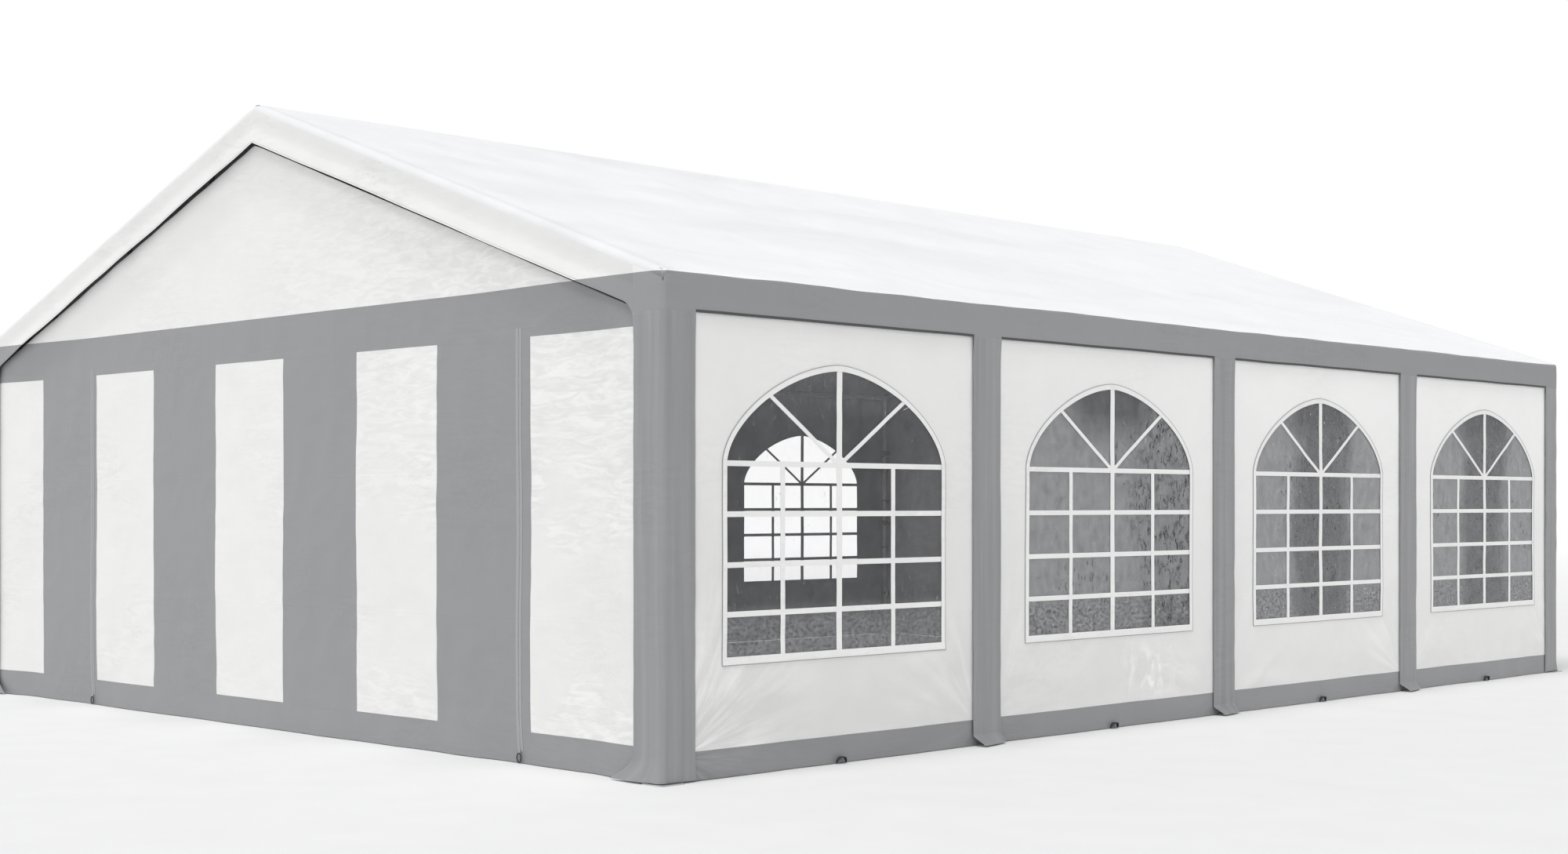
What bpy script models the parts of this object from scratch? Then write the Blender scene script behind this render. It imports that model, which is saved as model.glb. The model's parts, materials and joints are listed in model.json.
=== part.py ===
"""Party marquee of 6 m by 8 m: a steel tube frame under a white and grey polyethylene cover.

Metres, +Z up, the ground at Z 0 and the origin in the middle of the plan. X runs across the
gable ends, Y runs along the ridge, and the front gable faces -Y.
"""

import math

import bmesh
import bpy
from mathutils import Matrix, Vector

# Driving dimensions of the marquee
WIDTH = 6.0
LENGTH = 8.0
EAVE_Z = 2.035
RIDGE_Z = 3.085
BAYS = 4
SHEET = 0.004
FIT = 0.0003

# Steel tubes, the sleeves that join the rails end to end, and the sockets of legs and rafters
TUBE_RADIUS = 0.019
SOCKET_RADIUS = 0.0205
SLEEVE_RADIUS = 0.0225
SOCKET_LENGTH = 0.13
TUBE_SIDES = 12
AXIS_INSET = 0.040
FOOT_PLATE_SIDE = 0.12
FOOT_PLATE_THICKNESS = 0.005

# Sewn-on grey trim: the valance, the leg covers and the gable flaps
VALANCE_DROP = 0.16
FLAP_DROP = 0.195
LEG_COVER_WIDTH = 0.20
CORNER_COVER_WIDTH = 0.18
CORNER_RADIUS = 0.03
CORNER_STEPS = 3
COVER_FOOT_Z = 0.008
FLARE_HEIGHT = 0.12
FLARE_REACH = 0.025
FLARE_SPREAD = 0.13
FOOT_ROWS = 4
TONGUE_HEIGHT = 0.046
TONGUE_REACH = 0.07

# Side walls and their arched windows
WALL_FOOT_Z = 0.006
WINDOW_HALF_WIDTH = 0.68
WINDOW_SILL_Z = 0.457
WINDOW_SPRING_Z = 1.28
WINDOW_RISE = 0.405
WINDOW_ARCH_POWER = 1.65
WINDOW_ARCH_STEPS = 10
FILM = 0.002

# Gable walls, their zipped doors and the webbing tabs that hold them to the end frame
GABLE_WALL_HALF_WIDTH = 2.907
GABLE_GAP_UNDER_FLAP = 0.02
DOOR_LEFT_X = -1.77
DOOR_RIGHT_X = 1.99
DOOR_TOP_Z = 1.86
TAB_WIDTH = 0.04
ROOF_TAB_XS = (0.45, 1.3, 2.15)
LEG_TAB_ZS = (0.35, 0.95, 1.55)
LEG_TAB_REACH = 0.058

# Values worked out from the driving dimensions
ROOF_ANGLE = math.atan2(RIDGE_Z - EAVE_Z, WIDTH / 2)
ROOF_RISE_PER_METRE = math.tan(ROOF_ANGLE)
SHEET_DROP = SHEET / math.cos(ROOF_ANGLE)
FIT_DROP = FIT / math.cos(ROOF_ANGLE)
LEG_X = WIDTH / 2 - AXIS_INSET
END_Y = LENGTH / 2 - AXIS_INSET
BAY_LENGTH = 2 * END_Y / BAYS
FRAME_YS = [-END_Y + BAY_LENGTH * i for i in range(BAYS + 1)]
VALANCE_FOOT_Z = EAVE_Z - VALANCE_DROP


def roof_top_z(x):
    """Height of the roof cover's outer face at a distance x from the ridge plane."""
    return RIDGE_Z - ROOF_RISE_PER_METRE * abs(x)


def roof_underside_z(x):
    """Height of the roof cover's inner face."""
    return roof_top_z(x) - SHEET_DROP


def rafter_axis_z(x):
    """Height of the rafters' centre line, one sleeve radius under the cover."""
    return roof_underside_z(x) - (SLEEVE_RADIUS + FIT) / math.cos(ROOF_ANGLE)


def flap_foot_z(x):
    """Height of a gable flap's lower edge."""
    return roof_top_z(x) - FLAP_DROP


EAVE_AXIS_Z = rafter_axis_z(LEG_X)
RIDGE_AXIS_Z = rafter_axis_z(0.0)


# Scene set-up: an empty file, one collection for the marquee and one for joined shapes
for old in list(bpy.data.objects):
    bpy.data.objects.remove(old, do_unlink=True)

marquee = bpy.data.collections.new("marquee_tent")
bpy.context.scene.collection.children.link(marquee)
helpers = bpy.data.collections.new("joined_shapes")
bpy.context.scene.collection.children.link(helpers)


def make_material(name, colour, roughness, metallic=0.0, alpha=1.0):
    """A Principled material with the piece's own colour and finish."""
    material = bpy.data.materials.new(name)
    material.use_nodes = True
    shader = material.node_tree.nodes["Principled BSDF"]
    shader.inputs["Base Color"].default_value = (*colour, 1.0)
    shader.inputs["Roughness"].default_value = roughness
    shader.inputs["Metallic"].default_value = metallic
    shader.inputs["Alpha"].default_value = alpha
    return material


STEEL = make_material("galvanised_steel", (0.62, 0.63, 0.64), 0.38, 0.9)
WHITE = make_material("white_sheet", (0.86, 0.86, 0.85), 0.5)
GREY = make_material("grey_sheet", (0.30, 0.31, 0.32), 0.55)
CLEAR = make_material("clear_film", (0.70, 0.72, 0.73), 0.12, 0.0, 0.35)


def link_mesh(name, bm, material, collection=None):
    """Turns a bmesh into a named object."""
    mesh = bpy.data.meshes.new(name)
    bm.to_mesh(mesh)
    bm.free()
    mesh.materials.append(material)
    obj = bpy.data.objects.new(name, mesh)
    (collection or marquee).objects.link(obj)
    return obj


def cylinder_between(name, start, end, radius, material, collection=None):
    """A solid round bar from one point to another, with its mesh along local Z."""
    start, end = Vector(start), Vector(end)
    bm = bmesh.new()
    bmesh.ops.create_cone(
        bm,
        cap_ends=True,
        segments=TUBE_SIDES,
        radius1=radius,
        radius2=radius,
        depth=(end - start).length,
    )
    obj = link_mesh(name, bm, material, collection)
    obj.location = (start + end) / 2
    obj.rotation_euler = (end - start).to_track_quat("Z", "Y").to_euler()
    obj.data.shade_smooth()
    obj.data.set_sharp_from_angle(angle=math.radians(40))
    return obj


def join_by_union(body, others):
    """Fuses other shapes into a body, and hides them."""
    for other in others:
        other.hide_render = True
        other.display_type = "WIRE"
        union = body.modifiers.new("join_" + other.name, "BOOLEAN")
        union.operation = "UNION"
        union.solver = "EXACT"
        union.object = other


def flat_sheet(name, outlines, thickness, placement, material):
    """A flat piece cut to closed outlines, the first being its edge and the rest holes."""
    curve = bpy.data.curves.new(name, "CURVE")
    curve.dimensions = "2D"
    curve.fill_mode = "BOTH"
    curve.extrude = thickness / 2
    for outline in outlines:
        spline = curve.splines.new("POLY")
        spline.points.add(len(outline) - 1)
        for point, (u, v) in zip(spline.points, outline):
            point.co = (u, v, 0.0, 1.0)
        spline.use_cyclic_u = True
    curve.materials.append(material)
    obj = bpy.data.objects.new(name, curve)
    marquee.objects.link(obj)
    obj.matrix_world = placement
    return obj


def upright_across(y):
    """Placement of an outline drawn in X and Z, standing in the plane at y."""
    return Matrix(((1, 0, 0, 0), (0, 0, -1, y), (0, 1, 0, 0), (0, 0, 0, 1)))


def upright_along(x):
    """Placement of an outline drawn in Y and Z, standing in the plane at x."""
    return Matrix(((0, 0, 1, x), (1, 0, 0, 0), (0, 1, 0, 0), (0, 0, 0, 1)))


# Legs: a round tube on a square foot plate, with a socket at its head that butts on the eave rail
def make_leg(name, x, y):
    head_z = EAVE_AXIS_Z - SLEEVE_RADIUS - FIT
    leg = cylinder_between(
        name, (x, y, FOOT_PLATE_THICKNESS / 2), (x, y, head_z - SOCKET_LENGTH / 2), TUBE_RADIUS, STEEL
    )
    socket = cylinder_between(
        name + "_socket", (x, y, head_z - SOCKET_LENGTH), (x, y, head_z), SOCKET_RADIUS, STEEL, helpers
    )
    bm = bmesh.new()
    bmesh.ops.create_cube(bm, size=1.0)
    bmesh.ops.scale(
        bm,
        verts=bm.verts,
        vec=(FOOT_PLATE_SIDE, FOOT_PLATE_SIDE, FOOT_PLATE_THICKNESS),
    )
    plate = link_mesh(name + "_plate", bm, STEEL, helpers)
    plate.location = (x, y, FOOT_PLATE_THICKNESS / 2)
    join_by_union(leg, [socket, plate])


# Rafters: tubes from the eave rails up to the ridge rail, with a socket at both ends
def make_rafter(name, side, y):
    eave = Vector((side * LEG_X, y, EAVE_AXIS_Z))
    ridge = Vector((0.0, y, RIDGE_AXIS_Z))
    along = (ridge - eave).normalized()
    clear = along * (SLEEVE_RADIUS + FIT)
    low, high = eave + clear, ridge - clear
    reach = along * SOCKET_LENGTH
    rafter = cylinder_between(name, low + reach / 2, high - reach / 2, TUBE_RADIUS, STEEL)
    sockets = [
        cylinder_between(name + "_low_socket", low, low + reach, SOCKET_RADIUS, STEEL, helpers),
        cylinder_between(name + "_high_socket", high - reach, high, SOCKET_RADIUS, STEEL, helpers),
    ]
    join_by_union(rafter, sockets)


# Rails: purlins plugged together end to end by a sleeve at every frame
def make_rail(name, x, z):
    rail = cylinder_between(
        name, (x, -END_Y, z), (x, END_Y, z), TUBE_RADIUS, STEEL
    )
    sleeves = []
    for number, y in enumerate(FRAME_YS, 1):
        low = -SLEEVE_RADIUS if number == 1 else -SOCKET_LENGTH
        high = SLEEVE_RADIUS if number == len(FRAME_YS) else SOCKET_LENGTH
        sleeves.append(
            cylinder_between(
                f"{name}_sleeve_{number}", (x, y + low, z), (x, y + high, z), SLEEVE_RADIUS, STEEL, helpers
            )
        )
    join_by_union(rail, sleeves)


# Roof cover: one folded sheet over both slopes
def make_roof_cover():
    half = WIDTH / 2
    outline = [
        (-half, roof_top_z(half)),
        (-half, roof_underside_z(half)),
        (0.0, roof_underside_z(0.0)),
        (half, roof_underside_z(half)),
        (half, roof_top_z(half)),
        (0.0, roof_top_z(0.0)),
    ]
    flat_sheet("roof_cover", [outline], LENGTH, upright_across(0.0), WHITE)


# Gable flaps: the cover's edge turned down over each end frame, between the corner covers
def make_gable_flap(name, end):
    half = WIDTH / 2 - CORNER_COVER_WIDTH - FIT
    top = -SHEET_DROP - FIT_DROP
    outline = [
        (-half, flap_foot_z(half)),
        (0.0, flap_foot_z(0.0)),
        (half, flap_foot_z(half)),
        (half, roof_top_z(half) + top),
        (0.0, roof_top_z(0.0) + top),
        (-half, roof_top_z(half) + top),
    ]
    plane = end * (LENGTH / 2 - SHEET / 2)
    flat_sheet(name, [outline], SHEET, upright_across(plane), WHITE)


# Aprons: the grey valance along an eave with its five leg covers, wrapped round both corners.
# At the ground the corner covers spread along the gable, and the others end in a tongue that
# lies outwards.
def apron_stations(side):
    """Plan points along an apron from one gable return to the other.

    Each station is (x, y, outward x, outward y, foot, covered). The foot says how the cover
    ends at the ground there: "spread" along the gable, "round" the corner, "tongue" lying
    outwards, or "plain". Covered is true where the next stretch of the apron reaches the ground.
    """
    half_w, half_l = WIDTH / 2, LENGTH / 2
    edge = half_l - CORNER_COVER_WIDTH
    right = []
    for end in (-1, 1):
        corner = [(half_w - CORNER_COVER_WIDTH, end * half_l, 0.0, end, "spread", True)]
        for step in range(CORNER_STEPS + 1):
            turn = math.radians(90.0) * step / CORNER_STEPS
            corner.append(
                (
                    half_w - CORNER_RADIUS + CORNER_RADIUS * math.sin(turn),
                    end * (half_l - CORNER_RADIUS + CORNER_RADIUS * math.cos(turn)),
                    math.sin(turn),
                    end * math.cos(turn),
                    "round",
                    True,
                )
            )
        corner.append((half_w, end * edge, 1.0, 0.0, "plain", end > 0))
        if end > 0:
            right.extend((x, y, nx, ny, foot, True) for x, y, nx, ny, foot, _ in reversed(corner))
        else:
            right.extend(corner)
            for y in FRAME_YS[1:-1]:
                right.append((half_w, y - LEG_COVER_WIDTH / 2, 1.0, 0.0, "tongue", True))
                right.append((half_w, y + LEG_COVER_WIDTH / 2, 1.0, 0.0, "tongue", False))
    return [(side * x, y, side * nx, ny, foot, covered) for x, y, nx, ny, foot, covered in right]


def foot_shift(side, nx, ny, foot, z):
    """How far a cover's foot stands off its upright plane at a height, in X and Y."""
    flare = max(0.0, 1.0 - (z - COVER_FOOT_Z) / (FLARE_HEIGHT - COVER_FOOT_Z)) ** 2
    tongue = max(0.0, 1.0 - (z - COVER_FOOT_Z) / (TONGUE_HEIGHT - COVER_FOOT_Z))
    if foot == "tongue":
        return nx * TONGUE_REACH * tongue, 0.0
    if foot == "plain":
        return 0.0, 0.0
    spread = -side * FLARE_SPREAD * flare if foot == "spread" else 0.0
    return spread, ny * FLARE_REACH * flare


def make_apron(name, side):
    stations = apron_stations(side)
    foot_zs = [
        COVER_FOOT_Z + (FLARE_HEIGHT - COVER_FOOT_Z) * (i / FOOT_ROWS) ** 1.5
        for i in range(FOOT_ROWS + 1)
    ]
    bm = bmesh.new()
    columns = []
    for x, y, nx, ny, foot, _ in stations:
        column = []
        for z in foot_zs:
            shift_x, shift_y = foot_shift(side, nx, ny, foot, z)
            column.append(bm.verts.new((x + shift_x, y + shift_y, z)))
        column.append(bm.verts.new((x, y, VALANCE_FOOT_Z)))
        column.append(bm.verts.new((x, y, roof_underside_z(x) - FIT_DROP)))
        columns.append(column)
    last_row = len(columns[0]) - 2
    for here, (left, right) in enumerate(zip(columns, columns[1:])):
        lowest = 0 if stations[here][5] else last_row
        for row in range(lowest, last_row + 1):
            bm.faces.new((left[row], right[row], right[row + 1], left[row + 1]))
    for vertex in [v for v in bm.verts if not v.link_faces]:
        bm.verts.remove(vertex)
    if side < 0:
        bmesh.ops.reverse_faces(bm, faces=bm.faces)
    apron = link_mesh(name, bm, GREY)
    shell = apron.modifiers.new("sheet", "SOLIDIFY")
    shell.thickness = SHEET
    shell.offset = -1.0
    shell.use_even_offset = True


# Side walls: two sheets a side, hung outside the legs, with an arched window cut in every bay
def window_outline(middle, shrink):
    """Sill, jambs and arch of a window about the middle of its bay, taken in all round."""
    half = WINDOW_HALF_WIDTH - shrink
    rise = WINDOW_RISE - shrink
    power = 2.0 / WINDOW_ARCH_POWER
    sill_z = WINDOW_SILL_Z + shrink
    outline = [(middle - half, sill_z), (middle + half, sill_z)]
    for step in range(2 * WINDOW_ARCH_STEPS + 1):
        turn = math.pi * step / (2 * WINDOW_ARCH_STEPS)
        across = math.copysign(abs(math.cos(turn)) ** power, math.cos(turn))
        outline.append((middle + half * across, WINDOW_SPRING_Z + rise * math.sin(turn) ** power))
    return outline


def make_side_walls(side, side_name):
    inner_face = LEG_X + SLEEVE_RADIUS + FIT
    placement = upright_along(side * (inner_face + SHEET / 2))
    middles = [(y + next_y) / 2 for y, next_y in zip(FRAME_YS, FRAME_YS[1:])]
    for first, end_name in ((0, "front"), (BAYS // 2, "back")):
        low = FRAME_YS[first] + FIT
        high = FRAME_YS[first + BAYS // 2] - FIT
        edge = [(low, WALL_FOOT_Z), (high, WALL_FOOT_Z), (high, EAVE_AXIS_Z), (low, EAVE_AXIS_Z)]
        windows = [window_outline(middle, 0.0) for middle in middles[first : first + BAYS // 2]]
        flat_sheet(f"side_wall_{side_name}_{end_name}", [edge, *windows], SHEET, placement, WHITE)
    for number, middle in enumerate(middles, 1):
        film = window_outline(middle, FIT)
        flat_sheet(f"window_{side_name}_{number}", [film], FILM, placement, CLEAR)


# Gable walls: a five-sided sheet behind the end frame, notched for the door and tabbed to the tubes
def gable_wall_outline():
    half = GABLE_WALL_HALF_WIDTH
    side = []
    for z in LEG_TAB_ZS:
        side.append((half, z - TAB_WIDTH / 2))
        side.append((half + LEG_TAB_REACH, z - TAB_WIDTH / 2))
        side.append((half + LEG_TAB_REACH, z + TAB_WIDTH / 2))
        side.append((half, z + TAB_WIDTH / 2))
    slope = [(half, flap_foot_z(half) - GABLE_GAP_UNDER_FLAP)]
    for x in reversed(ROOF_TAB_XS):
        outer, inner = x + TAB_WIDTH / 2, x - TAB_WIDTH / 2
        slope.append((outer, flap_foot_z(outer) - GABLE_GAP_UNDER_FLAP))
        slope.append((outer, rafter_axis_z(outer)))
        slope.append((inner, rafter_axis_z(inner)))
        slope.append((inner, flap_foot_z(inner) - GABLE_GAP_UNDER_FLAP))
    right = side + slope
    left = [(-x, z) for x, z in reversed(right)]
    peak = [(0.0, flap_foot_z(0.0) - GABLE_GAP_UNDER_FLAP)]
    notch = [
        (-half, WALL_FOOT_Z),
        (DOOR_LEFT_X, WALL_FOOT_Z),
        (DOOR_LEFT_X, DOOR_TOP_Z),
        (DOOR_RIGHT_X, DOOR_TOP_Z),
        (DOOR_RIGHT_X, WALL_FOOT_Z),
        (half, WALL_FOOT_Z),
    ]
    return notch + right + peak + left


def make_gable(end, end_name):
    plane = END_Y - TUBE_RADIUS - FIT - SHEET / 2
    turn = Matrix.Rotation(math.pi if end > 0 else 0.0, 4, "Z")
    placement = turn @ upright_across(-plane)
    flat_sheet(f"gable_wall_{end_name}", [gable_wall_outline()], SHEET, placement, WHITE)
    door = [
        (DOOR_LEFT_X + FIT, WALL_FOOT_Z),
        (DOOR_RIGHT_X - FIT, WALL_FOOT_Z),
        (DOOR_RIGHT_X - FIT, DOOR_TOP_Z - FIT),
        (DOOR_LEFT_X + FIT, DOOR_TOP_Z - FIT),
    ]
    flat_sheet(f"door_{end_name}", [door], SHEET, placement, WHITE)


# Assembly
for side, side_name in ((1, "right"), (-1, "left")):
    for number, y in enumerate(FRAME_YS, 1):
        make_leg(f"leg_{side_name}_{number}", side * LEG_X, y)
        make_rafter(f"rafter_{side_name}_{number}", side, y)
    make_rail(f"eave_rail_{side_name}", side * LEG_X, EAVE_AXIS_Z)
    make_apron(f"apron_{side_name}", side)
    make_side_walls(side, side_name)
make_rail("ridge_rail", 0.0, RIDGE_AXIS_Z)
make_roof_cover()
for end, end_name in ((-1, "front"), (1, "back")):
    make_gable(end, end_name)
    make_gable_flap(f"gable_flap_{end_name}", end)
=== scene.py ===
import json
import math

import bmesh
import bpy
import numpy as np
from mathutils import Matrix, Vector

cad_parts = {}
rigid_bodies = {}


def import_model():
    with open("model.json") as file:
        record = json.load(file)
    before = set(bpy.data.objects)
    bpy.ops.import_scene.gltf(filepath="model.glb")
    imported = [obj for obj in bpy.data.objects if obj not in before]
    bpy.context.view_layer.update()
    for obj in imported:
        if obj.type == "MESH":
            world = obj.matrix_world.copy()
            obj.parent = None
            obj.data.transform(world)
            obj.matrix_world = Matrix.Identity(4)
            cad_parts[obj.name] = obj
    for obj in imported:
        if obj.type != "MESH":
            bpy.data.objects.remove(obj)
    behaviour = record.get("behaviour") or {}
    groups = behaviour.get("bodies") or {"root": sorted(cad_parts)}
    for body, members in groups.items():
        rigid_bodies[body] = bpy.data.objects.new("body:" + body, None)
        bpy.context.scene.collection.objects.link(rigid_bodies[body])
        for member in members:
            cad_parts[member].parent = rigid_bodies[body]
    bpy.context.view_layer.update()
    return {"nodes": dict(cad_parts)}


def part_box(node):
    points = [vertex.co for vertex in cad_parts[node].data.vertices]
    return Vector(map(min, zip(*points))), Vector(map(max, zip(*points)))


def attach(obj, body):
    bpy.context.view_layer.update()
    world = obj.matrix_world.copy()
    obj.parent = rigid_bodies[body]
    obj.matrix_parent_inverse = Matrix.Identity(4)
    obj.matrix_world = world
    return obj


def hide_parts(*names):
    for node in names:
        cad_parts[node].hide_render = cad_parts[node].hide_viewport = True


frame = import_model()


# Camera: eye height at the marquee's front right corner, looking along the long side.
# The photograph's horizon lies a little under its middle, which the vertical shift gives.
CAMERA_PLACE = (9.135, -9.548, 1.106)
CAMERA_HEADING = 0.778
SENSOR_WIDTH = 36.0
PHOTO_WIDTH = 2000
FOCAL_PIXELS = 2682.0
HORIZON_BELOW_MIDDLE_PIXELS = 99.2

shown = bpy.context.scene.collection.objects
camera_data = bpy.data.cameras.new("photo_camera")
camera_data.sensor_width = SENSOR_WIDTH
camera_data.lens = SENSOR_WIDTH * FOCAL_PIXELS / PHOTO_WIDTH
camera_data.shift_y = HORIZON_BELOW_MIDDLE_PIXELS / PHOTO_WIDTH
camera_data.clip_end = 200.0
camera = bpy.data.objects.new("photo_camera", camera_data)
camera.location = CAMERA_PLACE
camera.rotation_euler = (math.pi / 2, 0.0, CAMERA_HEADING)
shown.link(camera)
bpy.context.scene.camera = camera


# Frame: legs, rafters, eave rails and ridge rail of round steel tube, 38 mm across, plugged
# together. The tube is bought hot-dip galvanised, so it shows a faint spangle and dull patches.
BRIGHT_STEEL = (0.60, 0.61, 0.62)
GREYER_STEEL = (0.52, 0.53, 0.54)
STAINED_STEEL = (0.40, 0.41, 0.42)
SPANGLE_SIZE = 0.012


def sign(operation):
    """A sign of arithmetic between wires, which adds a node that works it out."""
    return lambda first, *others: first.maths(operation, *others)


class Wire:
    """One output of a node, reckoned with like a number, a place or a colour."""

    __add__, __sub__, __mul__, __truediv__ = map(sign, ("ADD", "SUBTRACT", "MULTIPLY", "DIVIDE"))
    __abs__, __gt__, __lt__ = map(sign, ("ABSOLUTE", "GREATER_THAN", "LESS_THAN"))
    most, least = map(sign, ("MAXIMUM", "MINIMUM"))

    def __init__(self, tree, socket):
        self.tree, self.socket = tree, socket

    def maths(self, operation, *others):
        return wire(self.tree, "ShaderNodeMath", dict(enumerate((self, *others))), operation=operation)

    def __rsub__(self, other):
        return self.maths("MULTIPLY_ADD", -1.0, other)

    def ramp(self, low, high, low_value, high_value):
        """A value or colour that runs from one to the other as this one passes from low to high."""
        result = wire(self.tree, "ShaderNodeValToRGB", {"Fac": self})
        elements = result.socket.node.color_ramp.elements
        for element, place, value in zip(elements, (low, high), (low_value, high_value)):
            element.position = place
            element.color = (*value, 1.0) if hasattr(value, "__len__") else (value, value, value, 1.0)
        return result

    def mix(self, first, second):
        """The first colour, or the second as far as this value says."""
        first, second = [part if isinstance(part, Wire) else (*part, 1.0) for part in (first, second)]
        return wire(self.tree, "ShaderNodeMixRGB", {"Fac": self, "Color1": first, "Color2": second})

    def noise(self, scale, detail=2.0, distortion=0.0, roughness=0.5):
        values = {"Scale": scale, "Detail": detail, "Distortion": distortion, "Roughness": roughness}
        return wire(self.tree, "ShaderNodeTexNoise", {"Vector": self, **values}, "Fac")

    def stretched(self, across, up):
        return wire(self.tree, "ShaderNodeMapping", {"Vector": self, "Scale": (across, up, 1.0)})

    def part(self, axis):
        return wire(self.tree, "ShaderNodeSeparateXYZ", {0: self}, axis)

    def bump(self, strength, distance, **below):
        values = {"Height": self, "Strength": strength, "Distance": distance, **below}
        return wire(self.tree, "ShaderNodeBump", values)


def feed(tree, node, inputs):
    """Puts values or wires on a node's inputs."""
    for key, value in inputs.items():
        if isinstance(value, Wire):
            tree.links.new(value.socket, node.inputs[key])
        else:
            node.inputs[key].default_value = value
    return node


def wire(tree, kind, inputs, output=0, **settings):
    """Adds a node, feeds it and takes one of its outputs."""
    node = tree.nodes.new(kind)
    for name, value in settings.items():
        setattr(node, name, value)
    return Wire(tree, feed(tree, node, inputs).outputs[output])


def object_place(tree):
    return wire(tree, "ShaderNodeTexCoord", {}, "Object")


def new_material(name, shader_inputs):
    """A material whose shader is fed what shader_inputs wires up in its tree."""
    material = bpy.data.materials.new(name)
    material.use_nodes = True
    tree = material.node_tree
    feed(tree, tree.nodes["Principled BSDF"], shader_inputs(tree))
    return material


def steel_inputs(tree):
    place = object_place(tree)
    cells = wire(tree, "ShaderNodeTexVoronoi", {"Vector": place, "Scale": 1.0 / SPANGLE_SIZE}, "Color")
    spangle = wire(tree, "ShaderNodeRGBToBW", {"Color": cells})
    stain = place.noise(6.0, 5.0)
    clean = spangle.ramp(0.2, 0.8, GREYER_STEEL, BRIGHT_STEEL)
    return {
        "Base Color": stain.ramp(0.45, 0.75, 0.0, 0.6).mix(clean, STAINED_STEEL),
        "Metallic": 0.85,
        "Roughness": stain.ramp(0.3, 0.8, 0.34, 0.58),
        "Normal": spangle.bump(0.12, 0.0006),
    }


steel = new_material("galvanised_steel", steel_inputs)
for node, piece in frame["nodes"].items():
    if node.startswith(("leg_", "rafter_", "eave_", "ridge_")):
        piece.material_slots[0].material = steel


# Bolts: a hexagon bolt through each socket, which pins the tube that is pushed into it.
# They are zinc-plated M6 bolts with a washer, and stand on the inner side of the tube.
SOCKET_RADIUS = 0.0205
BOLT_ALONG_SOCKET = 0.065
EAVE_SOCKET_START = 0.0225
BOLT_TAPER = 0.94
# Number of sides, radius, and the heights over the tube where it starts and ends
WASHER = (16, 0.009, -0.001, 0.0015)
BOLT_HEAD = (6, 0.00575, 0.0015, 0.0055)
SIDES = ((1, "right"), (-1, "left"))


def plain_mesh(bm, name):
    mesh = bpy.data.meshes.new(name)
    bm.to_mesh(mesh)
    bm.free()
    return mesh


def finished(mesh, material, smooth=True):
    """A finished piece: its mesh, its material and its body."""
    piece = bpy.data.objects.new(mesh.name, mesh)
    shown.link(piece)
    mesh.materials.clear()
    mesh.materials.append(material)
    if smooth:
        mesh.shade_smooth()
    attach(piece, "root")
    return piece


def middle_of(node):
    low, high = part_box(node)
    return (low + high) / 2


def add_bolt(bm, place, out):
    """A washer and a hexagon head on the face that looks along out."""
    turn = Vector(out).to_track_quat("Z", "Y").to_matrix().to_4x4()
    for sides, radius, low, high in (WASHER, BOLT_HEAD):
        seat = Matrix.Translation(Vector(place)) @ turn @ Matrix.Translation((0, 0, (low + high) / 2))
        shape = {"segments": sides, "radius1": radius, "radius2": radius * BOLT_TAPER, "depth": high - low}
        bmesh.ops.create_cone(bm, cap_ends=True, matrix=seat, **shape)


frame_ys = [middle_of(f"leg_right_{i}").y for i in range(1, 6)]
leg_x = middle_of("leg_right_1").x
eave_axis_z = middle_of("eave_rail_right").z
ridge_axis_z = middle_of("ridge_rail").z
leg_head_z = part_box("leg_right_1")[1].z
rafter_way = Vector((-leg_x, 0.0, ridge_axis_z - eave_axis_z)).normalized()

bm = bmesh.new()
for side, _ in SIDES:
    way = Vector((side * rafter_way.x, 0.0, rafter_way.z))
    under = Vector((-side * rafter_way.z, 0.0, rafter_way.x))
    for y in frame_ys:
        add_bolt(bm, (side * (leg_x - SOCKET_RADIUS), y, leg_head_z - BOLT_ALONG_SOCKET), (-side, 0.0, 0.0))
        for start, along in (((side * leg_x, y, eave_axis_z), way), ((0.0, y, ridge_axis_z), -way)):
            seat = Vector(start) + along * (BOLT_ALONG_SOCKET + EAVE_SOCKET_START) + under * SOCKET_RADIUS
            add_bolt(bm, seat, under)
finished(plain_mesh(bm, "frame_bolts"), steel, smooth=False)


# Roof cover: one sheet of white polyethylene fabric over both slopes, pulled tight over the
# rafters and the ridge, so it sags a little in every bay and is creased along its pulls.
SIDE_X = 2.9985
END_Y = 3.9985
EAVE_Z = 2.035
EAVE_BEND = 0.022
GABLE_BEND = 0.035
CORNER_RADIUS = 0.03
ROOF_STEP = 0.042
EAVE_BEND_STEP = 0.005
GABLE_BEND_STEP = 0.007
ROOF_SAG = 0.020
ROOF_FOLD_HEIGHT = 0.007
RIDGE_ROUNDING = 0.006
RIDGE_ROUNDING_REACH = 0.03
SHEET_THICKNESS = 0.0012

roof_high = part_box("roof_cover")[1]
half_width, ridge_z = roof_high.x, roof_high.z
roof_slope = (ridge_z - EAVE_Z) / half_width
roof_angle = math.atan(roof_slope)


def roof_z(x):
    return ridge_z - roof_slope * np.abs(x)


def smooth_step(low, high, value):
    t = np.clip((value - low) / (high - low), 0.0, 1.0)
    return t * t * (3.0 - 2.0 * t)


def ripples(u, v, seed, wavelength, waves=9):
    """Soft unevenness of a hanging sheet: crossing waves of one length, between about -1 and 1."""
    random = np.random.default_rng(seed)
    total = np.zeros(np.broadcast(u, v).shape)
    for _ in range(waves):
        heading = random.uniform(0.0, math.pi)
        length = wavelength * random.uniform(0.7, 1.6)
        phase = random.uniform(0.0, 2 * math.pi)
        total += np.sin(2 * math.pi / length * (u * math.cos(heading) + v * math.sin(heading)) + phase)
    return total / math.sqrt(waves * 1.6)


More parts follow.
